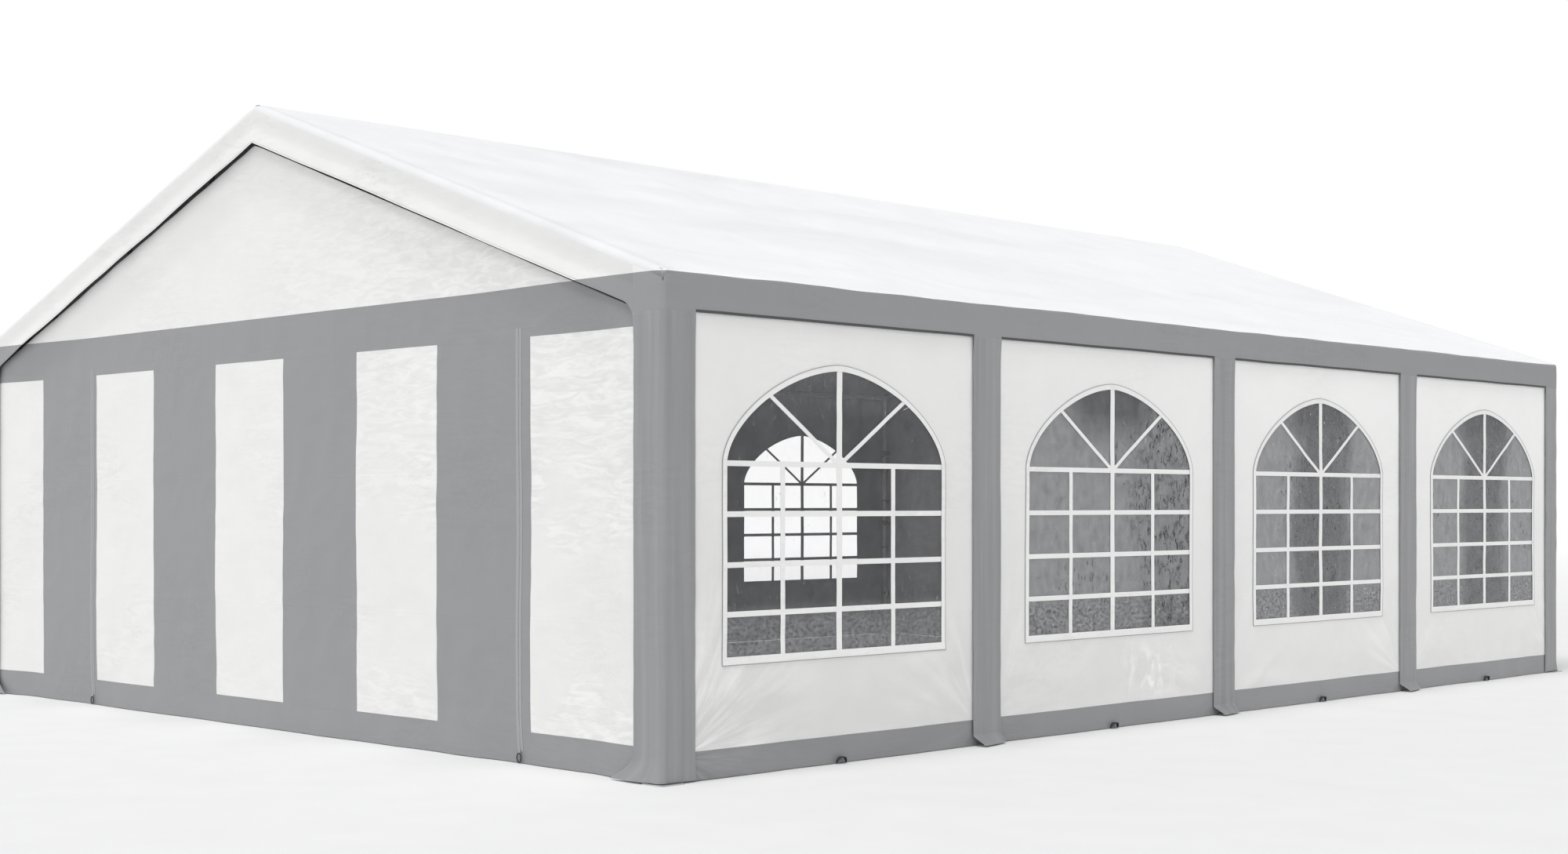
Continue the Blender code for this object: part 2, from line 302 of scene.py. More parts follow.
def creases(u, v, seed, wavelength):
    """Crumpled film: sharp little ridges where the ripples change sign, between 0 and 1."""
    return 1.0 - np.clip(np.abs(ripples(u, v, seed, wavelength)) * 1.6, 0.0, 1.0)


def pulled_fold(u, v, start, end, width):
    """One fold that runs from start to end, round on top and fading at both ends."""
    along = np.subtract(end, start)
    length = float(np.hypot(*along))
    along = along / length
    du, dv = u - start[0], v - start[1]
    run = (du * along[0] + dv * along[1]) / length
    across = du * -along[1] + dv * along[0]
    fade = np.clip(run * 5.0, 0.0, 1.0) * np.clip((1.0 - run) * 1.6, 0.0, 1.0)
    return fade * np.exp(-((across / width) ** 2))


def sheet_mesh(name, points, cut, turned=False):
    """A sheet's mesh from a grid of points and of their places on the flat cut. Unset points are
    left out, and a grid that is turned is read from its other end, so that it faces outwards."""
    if turned:
        points, cut = points[:, ::-1], cut[:, ::-1]
    kept = ~np.isnan(points[..., 0])
    number = np.full(kept.shape, -1)
    number[kept] = np.arange(kept.sum())
    i, j = np.nonzero(kept[:-1, :-1] & kept[1:, :-1] & kept[1:, 1:] & kept[:-1, 1:])
    faces = np.stack([number[i, j], number[i, j + 1], number[i + 1, j + 1], number[i + 1, j]], axis=1)
    mesh = bpy.data.meshes.new(name)
    mesh.from_pydata(points[kept].tolist(), [], faces.tolist())
    uv = cut[kept][faces.ravel()].astype(np.float32)
    mesh.uv_layers.new(name="cut").data.foreach_set("uv", uv.ravel())
    mesh.update()
    return mesh


def sheet_piece(mesh, material, thickness=SHEET_THICKNESS, shaded_inside=True):
    """A finished sheet, given its thickness inwards, with painted shade (a dark finish) on its inner face if
    asked.
    """
    piece = finished(mesh, material)
    solid = piece.modifiers.new("thickness", "SOLIDIFY")
    solid.thickness = thickness
    solid.offset = -1.0
    if shaded_inside:
        mesh.materials.append(inner_shade_finish)
        solid.material_offset = 1
        solid.material_offset_rim = 0
    piece.modifiers.new("even_shading", "WEIGHTED_NORMAL").keep_sharp = True
    return piece


def spaced(low, high, step):
    return np.linspace(low, high, max(2, round((high - low) / step) + 1))


def stretches(start, *ends_and_steps):
    """Even steps from the start to the first end, then other ones on to the next end, and so on."""
    values = [[start]]
    for end, step in ends_and_steps:
        values.append(spaced(values[-1][-1], end, step)[1:])
    return np.concatenate(values)


def mirrored(values):
    """Completes distances from the middle with those on its other side."""
    return np.concatenate([-values[::-1], values[1:]])


# Woven polyethylene film: a scrim of fine tapes between two coats of film. Its effects are
# the weave, packing creases, crumpling, a mottled sheen and painted shade in its creases and
# dents, and every sheet here shares them.
WHITE_SHEET = (0.850, 0.848, 0.838)
GREY_SHEET = (0.300, 0.303, 0.309)
# The roof's white is a whiter copy of the white sheet, painted light for the roof's brighter lighting
ROOF_WHITE = (0.985, 0.990, 1.0)
BAR_WHITE = (0.93, 0.928, 0.915)
# Dark grey for the painted shade in the film's creases and dents
CREASE_SHADE = (0.12, 0.125, 0.13)
# Painted shade for the sheets' inner faces, and its paler foot band
INNER_SHADE = (0.33, 0.332, 0.338)
INNER_SHADE_BAND = (0.62, 0.62, 0.63)
FOLD_LINE_WIDTH = 0.006
GREY_TOP_Z = 2.030
WELD_WANDER = 0.016
INNER_BAND_Z = 0.13


def build_film_group():
    group = bpy.data.node_groups.new("polyethylene_film", "ShaderNodeTree")
    face = group.interface
    face.new_socket("Cut", in_out="INPUT", socket_type="NodeSocketVector")
    for name, value in (("Tape Width", 0.0022), ("Packing Fold", 0.62), ("Crumple Size", 0.09)):
        face.new_socket(name, in_out="INPUT", socket_type="NodeSocketFloat").default_value = value
    for name in ("Weave", "Packing", "Crumple", "Mottle", "Shadow"):
        face.new_socket(name, in_out="OUTPUT", socket_type="NodeSocketFloat")
    source = group.nodes.new("NodeGroupInput").outputs
    cut, tape, fold, size = [Wire(group, source[i]) for i in range(4)]

    axes = [cut.part("X"), cut.part("Y")]
    tapes = [(axis * (2 * math.pi) / tape).maths("SINE") for axis in axes]
    waves = [axis.maths("PINGPONG", fold * 0.5) for axis in axes]
    folds = [1.0 - (wave / FOLD_LINE_WIDTH).least(1.0) for wave in waves]
    patches = cut.noise(1.3, 1.0)
    depth = (patches * 5.0 - 2.2).most(0.25)
    size_up = wire(group, "ShaderNodeMath", {0: 1.0, 1: size}, operation="DIVIDE")
    ridge = abs(cut.noise(size_up, 4.0, 1.2) - 0.5)
    dent = cut.stretched(4.0, 20.0).noise(1.0, 5.0, 1.6)
    dented = dent.ramp(0.44, 0.60, 0.0, 1.0) * depth.ramp(0.3, 1.0, 0.15, 1.0)
    crease = ridge.ramp(0.0, 0.035, 1.0, 0.0) * depth.ramp(0.25, 1.0, 0.1, 1.0)
    results = {
        "Weave": tapes[0] + tapes[1],
        "Packing": (folds[0].most(folds[1]) * (cut.noise(1.7) * 3.0 - 1.1)).most(0.0),
        "Crumple": ridge * -2.0 * depth,
        "Mottle": cut.noise(2.6, 6.0, roughness=0.62),
        # Shadow: painted shade in the film's creases and dents
        "Shadow": crease * 0.5 + dented,
    }
    feed(group, group.nodes.new("NodeGroupOutput"), results)
    return group


film_group = build_film_group()


def cut_and_effects(tree, **values):
    """The place on a sheet's flat cut, and the film's effects there."""
    cut = wire(tree, "ShaderNodeUVMap", {}, uv_map="cut")
    values = {key.replace("_", " "): value for key, value in values.items()}
    film = wire(tree, "ShaderNodeGroup", {"Cut": cut, **values}, node_tree=film_group)
    return cut, {output.name: Wire(tree, output) for output in film.socket.node.outputs}


def clouded(mottle, colour, fade=0.955):
    return mottle.ramp(0.3, 0.7, tuple(part * fade for part in colour), colour)


def film_material(
    name, grey=None, seams=None, colour=WHITE_SHEET, crumple_height=0.004, wear_and_shade=0.085, painted_light=None
):
    """A coated sheet in one colour, or in white and grey where the grey mask says. Its colour carries painted
    shade in its creases and dents, and may be scaled by painted light and shade.
    """

    def shader_inputs(tree):
        cut, effects = cut_and_effects(tree)
        mottle = effects["Mottle"]
        shade = clouded(mottle, colour)
        if grey:
            shade = grey(cut).mix(shade, clouded(mottle, GREY_SHEET))
        # Painted shade: the creases and dents are darkened towards dark grey
        shade = (effects["Shadow"] * wear_and_shade).mix(shade, CREASE_SHADE)
        # Painted light and shade: the colour is scaled up where the sheet would be lit and down where it
        # would be shaded
        if painted_light:
            shade = wire(tree, "ShaderNodeVectorMath", {0: shade, "Scale": painted_light(cut)}, operation="SCALE")
        crumple = effects["Crumple"].bump(0.5, crumple_height)
        packing = effects["Packing"].bump(0.5, 0.0014, Normal=crumple)
        normal = effects["Weave"].bump(0.12, 0.00015, Normal=packing)
        if seams:
            normal = seams(cut).bump(0.6, 0.0012, Normal=normal)
        roughness = mottle.ramp(0.25, 0.75, 0.33, 0.52)
        return {"Base Color": shade, "Roughness": roughness, "Specular IOR Level": 0.45, "Normal": normal}

    return new_material(name, shader_inputs)


def near(value, level, reach=0.008):
    """Masks the places where a value lies close to a level."""
    return abs(value - level) < reach


def inner_shade_inputs(tree):
    """Painted shade: the sheets' inner faces are painted dark grey for the shade inside the marquee and in
    the gaps under the flaps, paler in the foot band and towards the foot.
    """
    place = object_place(tree)
    patches, height = place.noise(5.0, 6.0), place.part("Z")
    low = (height < INNER_BAND_Z).most(height.ramp(0.3, 0.9, 0.6, 0.0))
    shade = low.mix(clouded(patches, INNER_SHADE, 0.7), clouded(patches, INNER_SHADE_BAND, 0.7))
    roughness = patches.ramp(0.3, 0.7, 0.45, 0.65)
    return {"Base Color": shade, "Roughness": roughness, "Normal": patches.bump(0.4, 0.01)}


def grey_below_eaves(cut):
    """Grey below the welded line at the eaves, which wanders by some millimetres."""
    place = object_place(cut.tree)
    return place.part("Z") < place.noise(2.2, 1.0) * WELD_WANDER + (GREY_TOP_Z - WELD_WANDER / 2)


def shaded_rim_and_swells(cut):
    """Painted shade: the cover is painted a little darker where it bends over the end rafters, and painted
    soft shadows lie along its long swells.
    """
    past = abs(cut.part("Y")) * 8.0 + (0.4 - 8.0 * (END_Y - GABLE_BEND))
    swell = cut.stretched(1.5, 0.4).noise(1.0, 2.0, 0.6)
    return past.ramp(0.0, 0.75, 1.0, 0.84) * swell.ramp(0.50, 0.66, 1.0, 0.945)


# Painted shade: the dark finish of the sheets' inner faces
inner_shade_finish = new_material("painted_inner_shade", inner_shade_inputs)
bar_film = film_material("bar_film", colour=BAR_WHITE)
roof_film = film_material("roof_film", grey_below_eaves, colour=ROOF_WHITE, wear_and_shade=0.015, painted_light=shaded_rim_and_swells)

bend_start_x = SIDE_X - EAVE_BEND + EAVE_BEND * math.sin(roof_angle)
bend_centre_z = roof_z(bend_start_x) - EAVE_BEND * math.cos(roof_angle)
slope_end = bend_start_x / math.cos(roof_angle)
eave_arc = EAVE_BEND * (math.pi / 2 - roof_angle)
gable_arc = GABLE_BEND * math.pi / 2
flat_end = END_Y - GABLE_BEND


def roof_section(d):
    """Across the roof from the ridge: x, z, and the outward normal, round the eave at the end."""
    side, d = np.sign(d), np.abs(d)
    turn = roof_angle + np.clip((d - slope_end) / EAVE_BEND, 0.0, math.pi / 2 - roof_angle)
    on_slope = d <= slope_end
    x = np.where(on_slope, d * math.cos(roof_angle), SIDE_X - EAVE_BEND + EAVE_BEND * np.sin(turn))
    z = np.where(on_slope, ridge_z - d * math.sin(roof_angle), bend_centre_z + EAVE_BEND * np.cos(turn))
    z = z - RIDGE_ROUNDING * np.exp(-((d / RIDGE_ROUNDING_REACH) ** 2))
    return side * x, z, side * np.sin(turn), np.cos(turn)


def roof_edge_z(x, y):
    """Height of the cover's outer face over a place in the plan, its rounded edges with it."""
    x, y = np.abs(x), np.abs(y)
    over_eave = np.clip(x - (SIDE_X - EAVE_BEND), 0.0, EAVE_BEND)
    round_z = bend_centre_z + np.sqrt(EAVE_BEND**2 - over_eave**2)
    past_rafter = np.clip(y - flat_end, 0.0, GABLE_BEND)
    drop = GABLE_BEND - np.sqrt(GABLE_BEND**2 - past_rafter**2)
    return np.where(x <= bend_start_x, roof_z(x), round_z) - drop


def round_corner(x, y):
    """Draws the square corner of the plan in to a quarter circle."""
    a = np.clip(np.abs(x) - (SIDE_X - CORNER_RADIUS), 0.0, None)
    b = np.clip(np.abs(y) - (END_Y - CORNER_RADIUS), 0.0, None)
    shrink = np.where((a > 0) & (b > 0), np.maximum(a, b) / np.maximum(np.hypot(a, b), 1e-9), 1.0)
    return x - np.sign(x) * a * (1.0 - shrink), y - np.sign(y) * b * (1.0 - shrink)


def roof_sink(d, y):
    """How far the cover lies off its plane, outwards: it sags in the bays and is pulled into folds."""
    bay = np.clip((y - frame_ys[0]) / (frame_ys[-1] - frame_ys[0]), 0.0, 1.0) * 4
    share = np.clip(np.abs(d) / slope_end, 0.0, 1.0)
    sag = -ROOF_SAG * np.sin(math.pi * bay) ** 2 * np.sin(math.pi * share) ** 0.7
    folds = np.zeros(np.broadcast(d, y).shape)
    random = np.random.default_rng(11)
    for side, _ in SIDES:
        for y0 in frame_ys:
            for _ in range(3):
                start = (side * slope_end * random.uniform(0.86, 1.0), y0 + random.uniform(-0.05, 0.05))
                end = (side * random.uniform(0.3, 1.8), y0 + random.uniform(-1.7, 1.7))
                folds += random.uniform(0.3, 1.0) * pulled_fold(d, y, start, end, random.uniform(0.05, 0.11))
    clear = smooth_step(0.02, 0.3, share) * smooth_step(0.0, 0.06, 1.0 - share)
    uneven = 0.0035 * ripples(d, y, 5, 0.8) + 0.0016 * creases(d, y, 8, 0.35)
    off = sag + clear * (ROOF_FOLD_HEIGHT * folds + uneven)
    near_rafter = np.exp(-((np.sin(math.pi * bay) / 0.12) ** 2))
    off = np.where(off < 0.0, off * (1.0 - near_rafter), off)
    return off * smooth_step(0.0, 0.2, END_Y - np.abs(y))


across_roof = stretches(0.0, (slope_end, ROOF_STEP), (slope_end + eave_arc, EAVE_BEND_STEP))
along_roof = stretches(0.0, (flat_end, ROOF_STEP), (flat_end + gable_arc, GABLE_BEND_STEP))
d, e = np.meshgrid(mirrored(across_roof), mirrored(along_roof))
turn = np.clip((np.abs(e) - flat_end) / GABLE_BEND, 0.0, math.pi / 2)
y = np.sign(e) * (np.minimum(np.abs(e), flat_end) + GABLE_BEND * np.sin(turn))
x, z, nx, nz = roof_section(d)
off = roof_sink(d, y)
z = z - GABLE_BEND * (1.0 - np.cos(turn)) + nz * off
x, y = round_corner(x + nx * off, y)
mesh = sheet_mesh("roof_sheet", np.stack([x, y, z], axis=-1), np.stack([d, e], axis=-1))
roof_sheet = sheet_piece(mesh, roof_film)
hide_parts("roof_cover")


# Gable flaps: the cover's edge strip, turned down over each end rafter and sewn along its foot.
# It is the same white sheet, grey below the eaves, and is folded once along its length.
ENDS = ((-1, "front"), (1, "back"))
FLAP_DROP = 0.195
FLAP_FOLD = 0.112
FLAP_CORNER = 0.06
FLAP_STEP = 0.028
CORNER_STEP = 0.006
CORNER_COVER_WIDTH = 0.18
flap_half = half_width - CORNER_COVER_WIDTH


def flap_foot(u):
    """Height of the flap's lower edge, rounded down into the corner covers."""
    inset = np.clip(FLAP_CORNER - (flap_half - np.abs(u)), 0.0, FLAP_CORNER)
    return roof_z(u) - FLAP_DROP - (FLAP_CORNER - np.sqrt(FLAP_CORNER**2 - inset**2))


def flap_places(end, u, share, lift=0.0):
    """Places on a flap, at u across the gable and at a share of its drop, lifted off its face."""
    top = roof_edge_z(u, END_Y)
    drop = share * (top - flap_foot(u))
    seed = 21 if end < 0 else 22
    free = smooth_step(0.0, 0.35, flap_half - np.abs(u))
    below_fold = smooth_step(FLAP_FOLD - GABLE_BEND, FLAP_DROP - GABLE_BEND, drop)
    swing = below_fold * (0.012 + 0.003 * ripples(u, drop, seed, 0.6))
    fold = 0.0025 * np.exp(-(((drop - FLAP_FOLD + GABLE_BEND) / 0.012) ** 2))
    waves = 0.0012 * ripples(u, drop * 3, seed + 5, 0.3) * share
    off = free * (swing + fold + waves) + lift
    z = top - drop + 0.0025 * ripples(u, 0.0 * u, seed + 9, 0.6) * free * share
    return np.stack([-end * u, end * (END_Y + off), z], axis=-1)


def shaded_flap_top(cut):
    """Painted shade: the strip of a flap above its fold leans back a little and is painted darker."""
    place = object_place(cut.tree)
    slope = abs(place.part("X")) * -math.tan(roof_angle) + ridge_z
    drop = (slope - place.part("Z")) / FLAP_DROP
    return drop.ramp(FLAP_FOLD / FLAP_DROP - 0.05, FLAP_FOLD / FLAP_DROP + 0.05, 0.93, 1.0)


flap_film = film_material("flap_film", grey_below_eaves, painted_light=shaded_flap_top)
near_corner = flap_half - FLAP_CORNER * 1.5
across_flap = stretches(0.0, (near_corner, FLAP_STEP), (flap_half, CORNER_STEP))
for end, end_name in ENDS:
    u, share = np.meshgrid(mirrored(across_flap), spaced(0.0, 1.0, 0.06)[::-1])
    points = flap_places(end, u, share)
    cut = np.stack([u, points[..., 2]], axis=-1)
    flap = sheet_piece(sheet_mesh(f"gable_flap_sheet_{end_name}", points, cut), flap_film)
    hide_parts(f"gable_flap_{end_name}")


# Valances and leg covers: grey strips sewn under the cover's edge. The valance hides the eave
# rail and the covers hide the legs. At the ground the corner covers spread along the gable,
# and the others end in a tongue that lies outwards.
VALANCE_FOOT_Z = 1.875
COVER_FOOT_Z = 0.008
LEG_COVER_WIDTH = 0.20
FLARE_HEIGHT = 0.12
FLARE_REACH = 0.025
FLARE_SPREAD = 0.13
TONGUE_HEIGHT = 0.046
TONGUE_REACH = 0.07
HEM_WIDTH = 0.012
VALANCE_STEP = 0.03
COVER_STEP = 0.012
FLARE_ROW_STEP = 0.008
COVER_ROW_STEP = 0.035
return_length = SIDE_X - CORNER_RADIUS - flap_half
corner_length = CORNER_RADIUS * math.pi / 2
run_length = 2 * (END_Y - CORNER_RADIUS)
wrap_length = 2 * (return_length + corner_length) + run_length
corner_starts = np.cumsum([return_length, corner_length, run_length, corner_length])
corner_half = float(corner_starts[1] + return_length) / 2
cover_places = [(corner_half, corner_half)]
cover_places += [(float(corner_starts[1] + run_length / 2 + y), LEG_COVER_WIDTH / 2) for y in frame_ys[1:-1]]
cover_places += [(wrap_length - corner_half, corner_half)]


def wrap(side, s):
    """Plan of an apron at a distance s along it from the front return: place and outward way."""
    first, second, third, fourth = corner_starts
    turn = np.clip((s - first) / CORNER_RADIUS, 0.0, math.pi / 2)
    turn = turn + np.clip((s - third) / CORNER_RADIUS, 0.0, math.pi / 2)
    along_x = np.clip(s - first, -return_length, 0.0) - np.clip(s - fourth, 0.0, return_length)
    along_y = np.clip(s - second, 0.0, run_length)
    x = SIDE_X - CORNER_RADIUS + along_x + CORNER_RADIUS * np.sin(turn)
    y = -(END_Y - CORNER_RADIUS) + along_y - CORNER_RADIUS * np.cos(turn)
    return side * x, y, side * np.sin(turn), -np.cos(turn)


def apron_top(s):
    """Height of the cover's edge over an apron, which the apron is sewn to."""
    x, y, _, _ = wrap(1, s)
    a, b = x - (SIDE_X - CORNER_RADIUS), np.abs(y) - (END_Y - CORNER_RADIUS)
    on_corner = (a > 0) & (b > 0)
    grow = np.where(on_corner, CORNER_RADIUS / np.maximum(np.maximum(a, b), 1e-9), 1.0)
    return roof_edge_z(x + a * (grow - 1.0), np.abs(y) + b * (grow - 1.0))


def apron_seed(side):
    return 31 if side > 0 else 37


def apron_off(side, s, z):
    """How far an apron stands proud of its plane: long soft folds that die out at its ends."""
    held = smooth_step(0.0, 0.12, s) * smooth_step(0.0, 0.12, wrap_length - s)
    ends = np.where(z > 1.80, held, 1.0) * smooth_step(2.03, 1.98, z)
    seed = apron_seed(side)
    return ends * (0.0011 * ripples(s * 0.35, z * 2.4, seed, 0.4) + 0.0005 * ripples(s, z, seed + 1, 0.14))


def apron_points(side, s, z, off, drift_x=0.0):
    x, y, nx, ny = wrap(side, s)
    return np.stack([x + nx * off + side * drift_x, y + ny * off, z], axis=-1)


def valance_places(side, s, share, lift=0.0):
    """Places on a valance, at s along the apron and at a share of its height from its foot."""
    between = np.ones(np.broadcast(s, share).shape)
    for middle, half in cover_places:
        between = np.minimum(between, smooth_step(0.0, 0.12, np.abs(s - middle) - half))
    foot = VALANCE_FOOT_Z + between * 0.0010 * ripples(s, 0.0 * s, apron_seed(side) + 4, 0.7)
    z = foot + (apron_top(s) - foot) * share
    off = apron_off(side, s, z) + between * 0.003 * smooth_step(0.5, 0.0, share) + lift
    return apron_points(side, s, z, off)


def cover_points(side, number, s, z, lift=0.0):
    """Places on a leg cover, at s along the apron and at height z, lifted off its face."""
    middle, half = cover_places[number - 1]
    is_corner = half > LEG_COVER_WIDTH / 2 + 0.01
    across = (s - middle) / half
    low = smooth_step(VALANCE_FOOT_Z, VALANCE_FOOT_Z - 0.12, z)
    seed = 40 + 6 * number + (3 if side < 0 else 0)
    turned_in = -0.0035 * smooth_step(HEM_WIDTH, 0.0, half - np.abs(s - middle))
    tube = 0.0 if is_corner else 0.003 * (np.exp(-((across / 0.35) ** 2)) - 0.3)
    folds = 0.0007 * ripples(s * 4.0, z, seed, 0.6) + 0.0007 * ripples(s, z, seed + 1, 0.25)
    off = apron_off(side, s, z) + low * (turned_in + tube + folds) + lift
    if not is_corner:
        tongue = np.clip(1.0 - (z - COVER_FOOT_Z) / (TONGUE_HEIGHT - COVER_FOOT_Z), 0.0, 1.0)
        ease = np.where(tongue > 0.25, tongue, tongue**2 / 0.5 + 0.125 * (tongue > 0) * tongue / 0.25)
        return apron_points(side, s, z, off + TONGUE_REACH * ease * (0.72 - 0.30 * across))
    x, y, nx, ny = wrap(side, s)
    flare = np.clip(1.0 - (z - COVER_FOOT_Z) / (FLARE_HEIGHT - COVER_FOOT_Z), 0.0, 1.0) ** 2
    on_gable = np.abs(ny)
    reach = np.clip((SIDE_X - CORNER_RADIUS - np.abs(x)) / return_length, 0.0, 1.0)
    line = np.abs(x) - (SIDE_X - 0.05) + (z - COVER_FOOT_Z) * 0.35
    crease = np.exp(-((line / 0.006) ** 2)) * smooth_step(FLARE_HEIGHT * 0.85, 0.02, z) * on_gable
    off = off + FLARE_REACH * flare * on_gable * (0.6 + 0.4 * np.sin(reach * math.pi)) - 0.006 * crease
    return apron_points(side, s, z, off, -FLARE_SPREAD * flare * on_gable * reach)


def shaded_backwards(cut):
    """Painted shade: a valance is painted darker towards the back, where it hangs back a little."""
    return (object_place(cut.tree).part("Y") * 0.125 + 0.5).ramp(0.45, 0.95, 1.0, 0.89)


def painted_crease_streaks(cut):
    """Painted light and shade: long upright lighter and darker streaks where a cover is creased down its
    length.
    """
    return cut.stretched(24.0, 0.7).noise(1.0, 3.0, 0.3).ramp(0.36, 0.64, 0.93, 1.07)


eave_film = film_material("eave_film", grey_below_eaves, painted_light=shaded_backwards)
grey_film = film_material("grey_film", colour=GREY_SHEET, crumple_height=0.003, painted_light=painted_crease_streaks)
corner_s = return_length + spaced(0.0, corner_length, CORNER_STEP)
edge_s = [middle + way * half for middle, half in cover_places for way in (-1, 1)]
valance_s = [spaced(0.0, wrap_length, VALANCE_STEP), corner_s, wrap_length - corner_s, edge_s]
valance_s = np.unique(np.round(np.concatenate(valance_s), 5))
cover_z = stretches(COVER_FOOT_Z, (FLARE_HEIGHT, FLARE_ROW_STEP), (VALANCE_FOOT_Z, COVER_ROW_STEP))
for side, side_name in SIDES:
    s, share = np.meshgrid(valance_s, spaced(0.0, 1.0, 0.09))
    points = valance_places(side, s, share)
    cut = np.stack([side * s, points[..., 2]], axis=-1)
    mesh = sheet_mesh(f"valance_{side_name}", points, cut, turned=side < 0)
    valance = sheet_piece(mesh, eave_film)
    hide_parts(f"apron_{side_name}")
    for number, (middle, half) in enumerate(cover_places, 1):
        hem = HEM_WIDTH * np.array([0.0, 0.4, 1.0])
        inner = spaced(middle - half + HEM_WIDTH, middle + half - HEM_WIDTH, COVER_STEP)[1:-1]
        s, z = np.meshgrid([*(middle - half + hem), *inner, *(middle + half - hem[::-1])], cover_z)
        points, cut = cover_points(side, number, s, z), np.stack([side * s, z], axis=-1)
        mesh = sheet_mesh(f"leg_cover_{side_name}_{number}", points, cut, turned=side < 0)
        cover = sheet_piece(mesh, grey_film)
        flat = (2 * half, VALANCE_FOOT_Z - COVER_FOOT_Z)
        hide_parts(f"apron_{side_name}")


# Side walls: white sheets with a grey foot band, hung outside the legs from the eave rail.
# Each covers two bays, and a clear arched window is welded into the middle of every bay.
WALL_FACE_X = 2.9862
WALL_FOOT_Z = 0.003
SIDE_BAND_Z = 0.12
WINDOW_HALF_WIDTH = 0.68
WINDOW_SILL_Z = 0.457
WINDOW_SPRING_Z = 1.28
WINDOW_RISE = 0.405
WINDOW_ARCH_POWER = 1.65
WINDOW_MIDDLE_Z = 1.0
RAYS_EACH_SIDE = 132
RINGS = 17
RING_CROWDING = 0.9
SAME_PLACE = 0.0002
PULL_FOLD_HEIGHT = 0.009
PULL_CORNER = (0.93, 0.10)
GLEAM_PLACE = -0.68
bay_length = frame_ys[1] - frame_ys[0]
bay_middles = [(low + high) / 2 for low, high in zip(frame_ys, frame_ys[1:])]
wall_top_z = eave_axis_z


def window_outline(margin=0.0, sill_lap=None):
    """Half the window's outline, from the sill's middle round the right side to the crown."""
    half, rise = WINDOW_HALF_WIDTH + margin, WINDOW_RISE + margin
    sill = WINDOW_SILL_Z - (margin if sill_lap is None else sill_lap)
    power = 2.0 / WINDOW_ARCH_POWER
    turn = np.linspace(0.0, math.pi / 2, 64)
    sill_u = np.linspace(0.0, half, 24)
    jamb_v = np.linspace(sill, WINDOW_SPRING_Z, 30)[1:-1]
    u = np.concatenate([sill_u, np.full(len(jamb_v), half), half * np.cos(turn) ** power])
    v = np.concatenate([np.full(len(sill_u), sill), jamb_v, WINDOW_SPRING_Z + rise * np.sin(turn) ** power])
    return u, v


def ray_reach(angles, u, v):
    """Distance from the window's middle to an outline along rays of the right half."""
    outline_angles = np.arctan2(v - WINDOW_MIDDLE_Z, u)
    return np.interp(angles, outline_angles, np.hypot(u, v - WINDOW_MIDDLE_Z))


def ray_angles(corners):
    """Even angles of the right half, with the nearest one drawn to each corner."""
    angles = np.linspace(-math.pi / 2, math.pi / 2, RAYS_EACH_SIDE + 1)
    for u, v in corners:
        corner = math.atan2(v - WINDOW_MIDDLE_Z, u)
        angles[np.argmin(np.abs(angles - corner))] = corner
    return angles


def both_halves(values, mirror):
    """Completes a half turn's values to a closed turn; mirror is -1 for what changes its sign."""
    return np.concatenate([values, mirror * values[-2:0:-1]])


def wall_off(u, v, seed):
    """How far a side wall stands off its plane: tight at the legs and the eaves, slack between."""
    free = np.abs(np.sin(math.pi * (u - frame_ys[0]) / bay_length))
    tight = smooth_step(0.02, 0.5, free) * smooth_step(wall_top_z, wall_top_z - 0.45, v)
    broad = 0.0045 * ripples(u, v, seed, 0.9) + 0.0028 * ripples(u, v, seed + 1, 0.32)
    sharp = 0.0022 * creases(u, v, seed + 2, 0.5)
    pulls = np.zeros(np.broadcast(u, v).shape)
    calm = np.ones(np.broadcast(u, v).shape)
    random = np.random.default_rng(seed + 3)
    for middle in bay_middles:
        for way in (-1, 1):
            for _ in range(3):
                start = (middle + way * random.uniform(0.84, 0.95), random.uniform(0.02, 0.5))
                end = (middle + way * random.uniform(0.1, 0.6), random.uniform(0.02, 0.40))
                pulls += random.uniform(0.3, 1.0) * pulled_fold(u, v, start, end, random.uniform(0.02, 0.045))
        in_window = smooth_step(0.80, 0.62, np.abs(u - middle)) * smooth_step(0.36, 0.50, v)
        calm = calm * (1.0 - 0.75 * in_window * smooth_step(1.80, 1.62, v))
    hem = 0.006 * smooth_step(0.22, 0.0, v) * ripples(u, 0.0 * u, seed + 7, 0.6)
    return tight * (calm * (broad + sharp) + PULL_FOLD_HEIGHT * pulls + hem)


def on_side(side, u, v, off):
    """Places points of a side wall's cut, off outwards from its outer face."""
    return np.stack([side * (WALL_FACE_X + off), side * u, v + 0.0 * u], axis=-1)


def wall_seed(side):
    return 50 if side > 0 else 60


def add_grid(bm, points, u, v, closed=True):
    """Quads through rows of points, with their places on the cut."""
    layer = bm.loops.layers.uv.get("cut") or bm.loops.layers.uv.new("cut")
    vertices = [[bm.verts.new(point) for point in row] for row in points]
    rows, count = u.shape
    for i in range(rows - 1):
        for j in range(count if closed else count - 1):
            after = (j + 1) % count
            corners = ((i, j), (i + 1, j), (i + 1, after), (i, after))
            face = bm.faces.new([vertices[a][b] for a, b in corners])
            for loop, (a, b) in zip(face.loops, corners):
                loop[layer].uv = u[a, b], v[a, b]


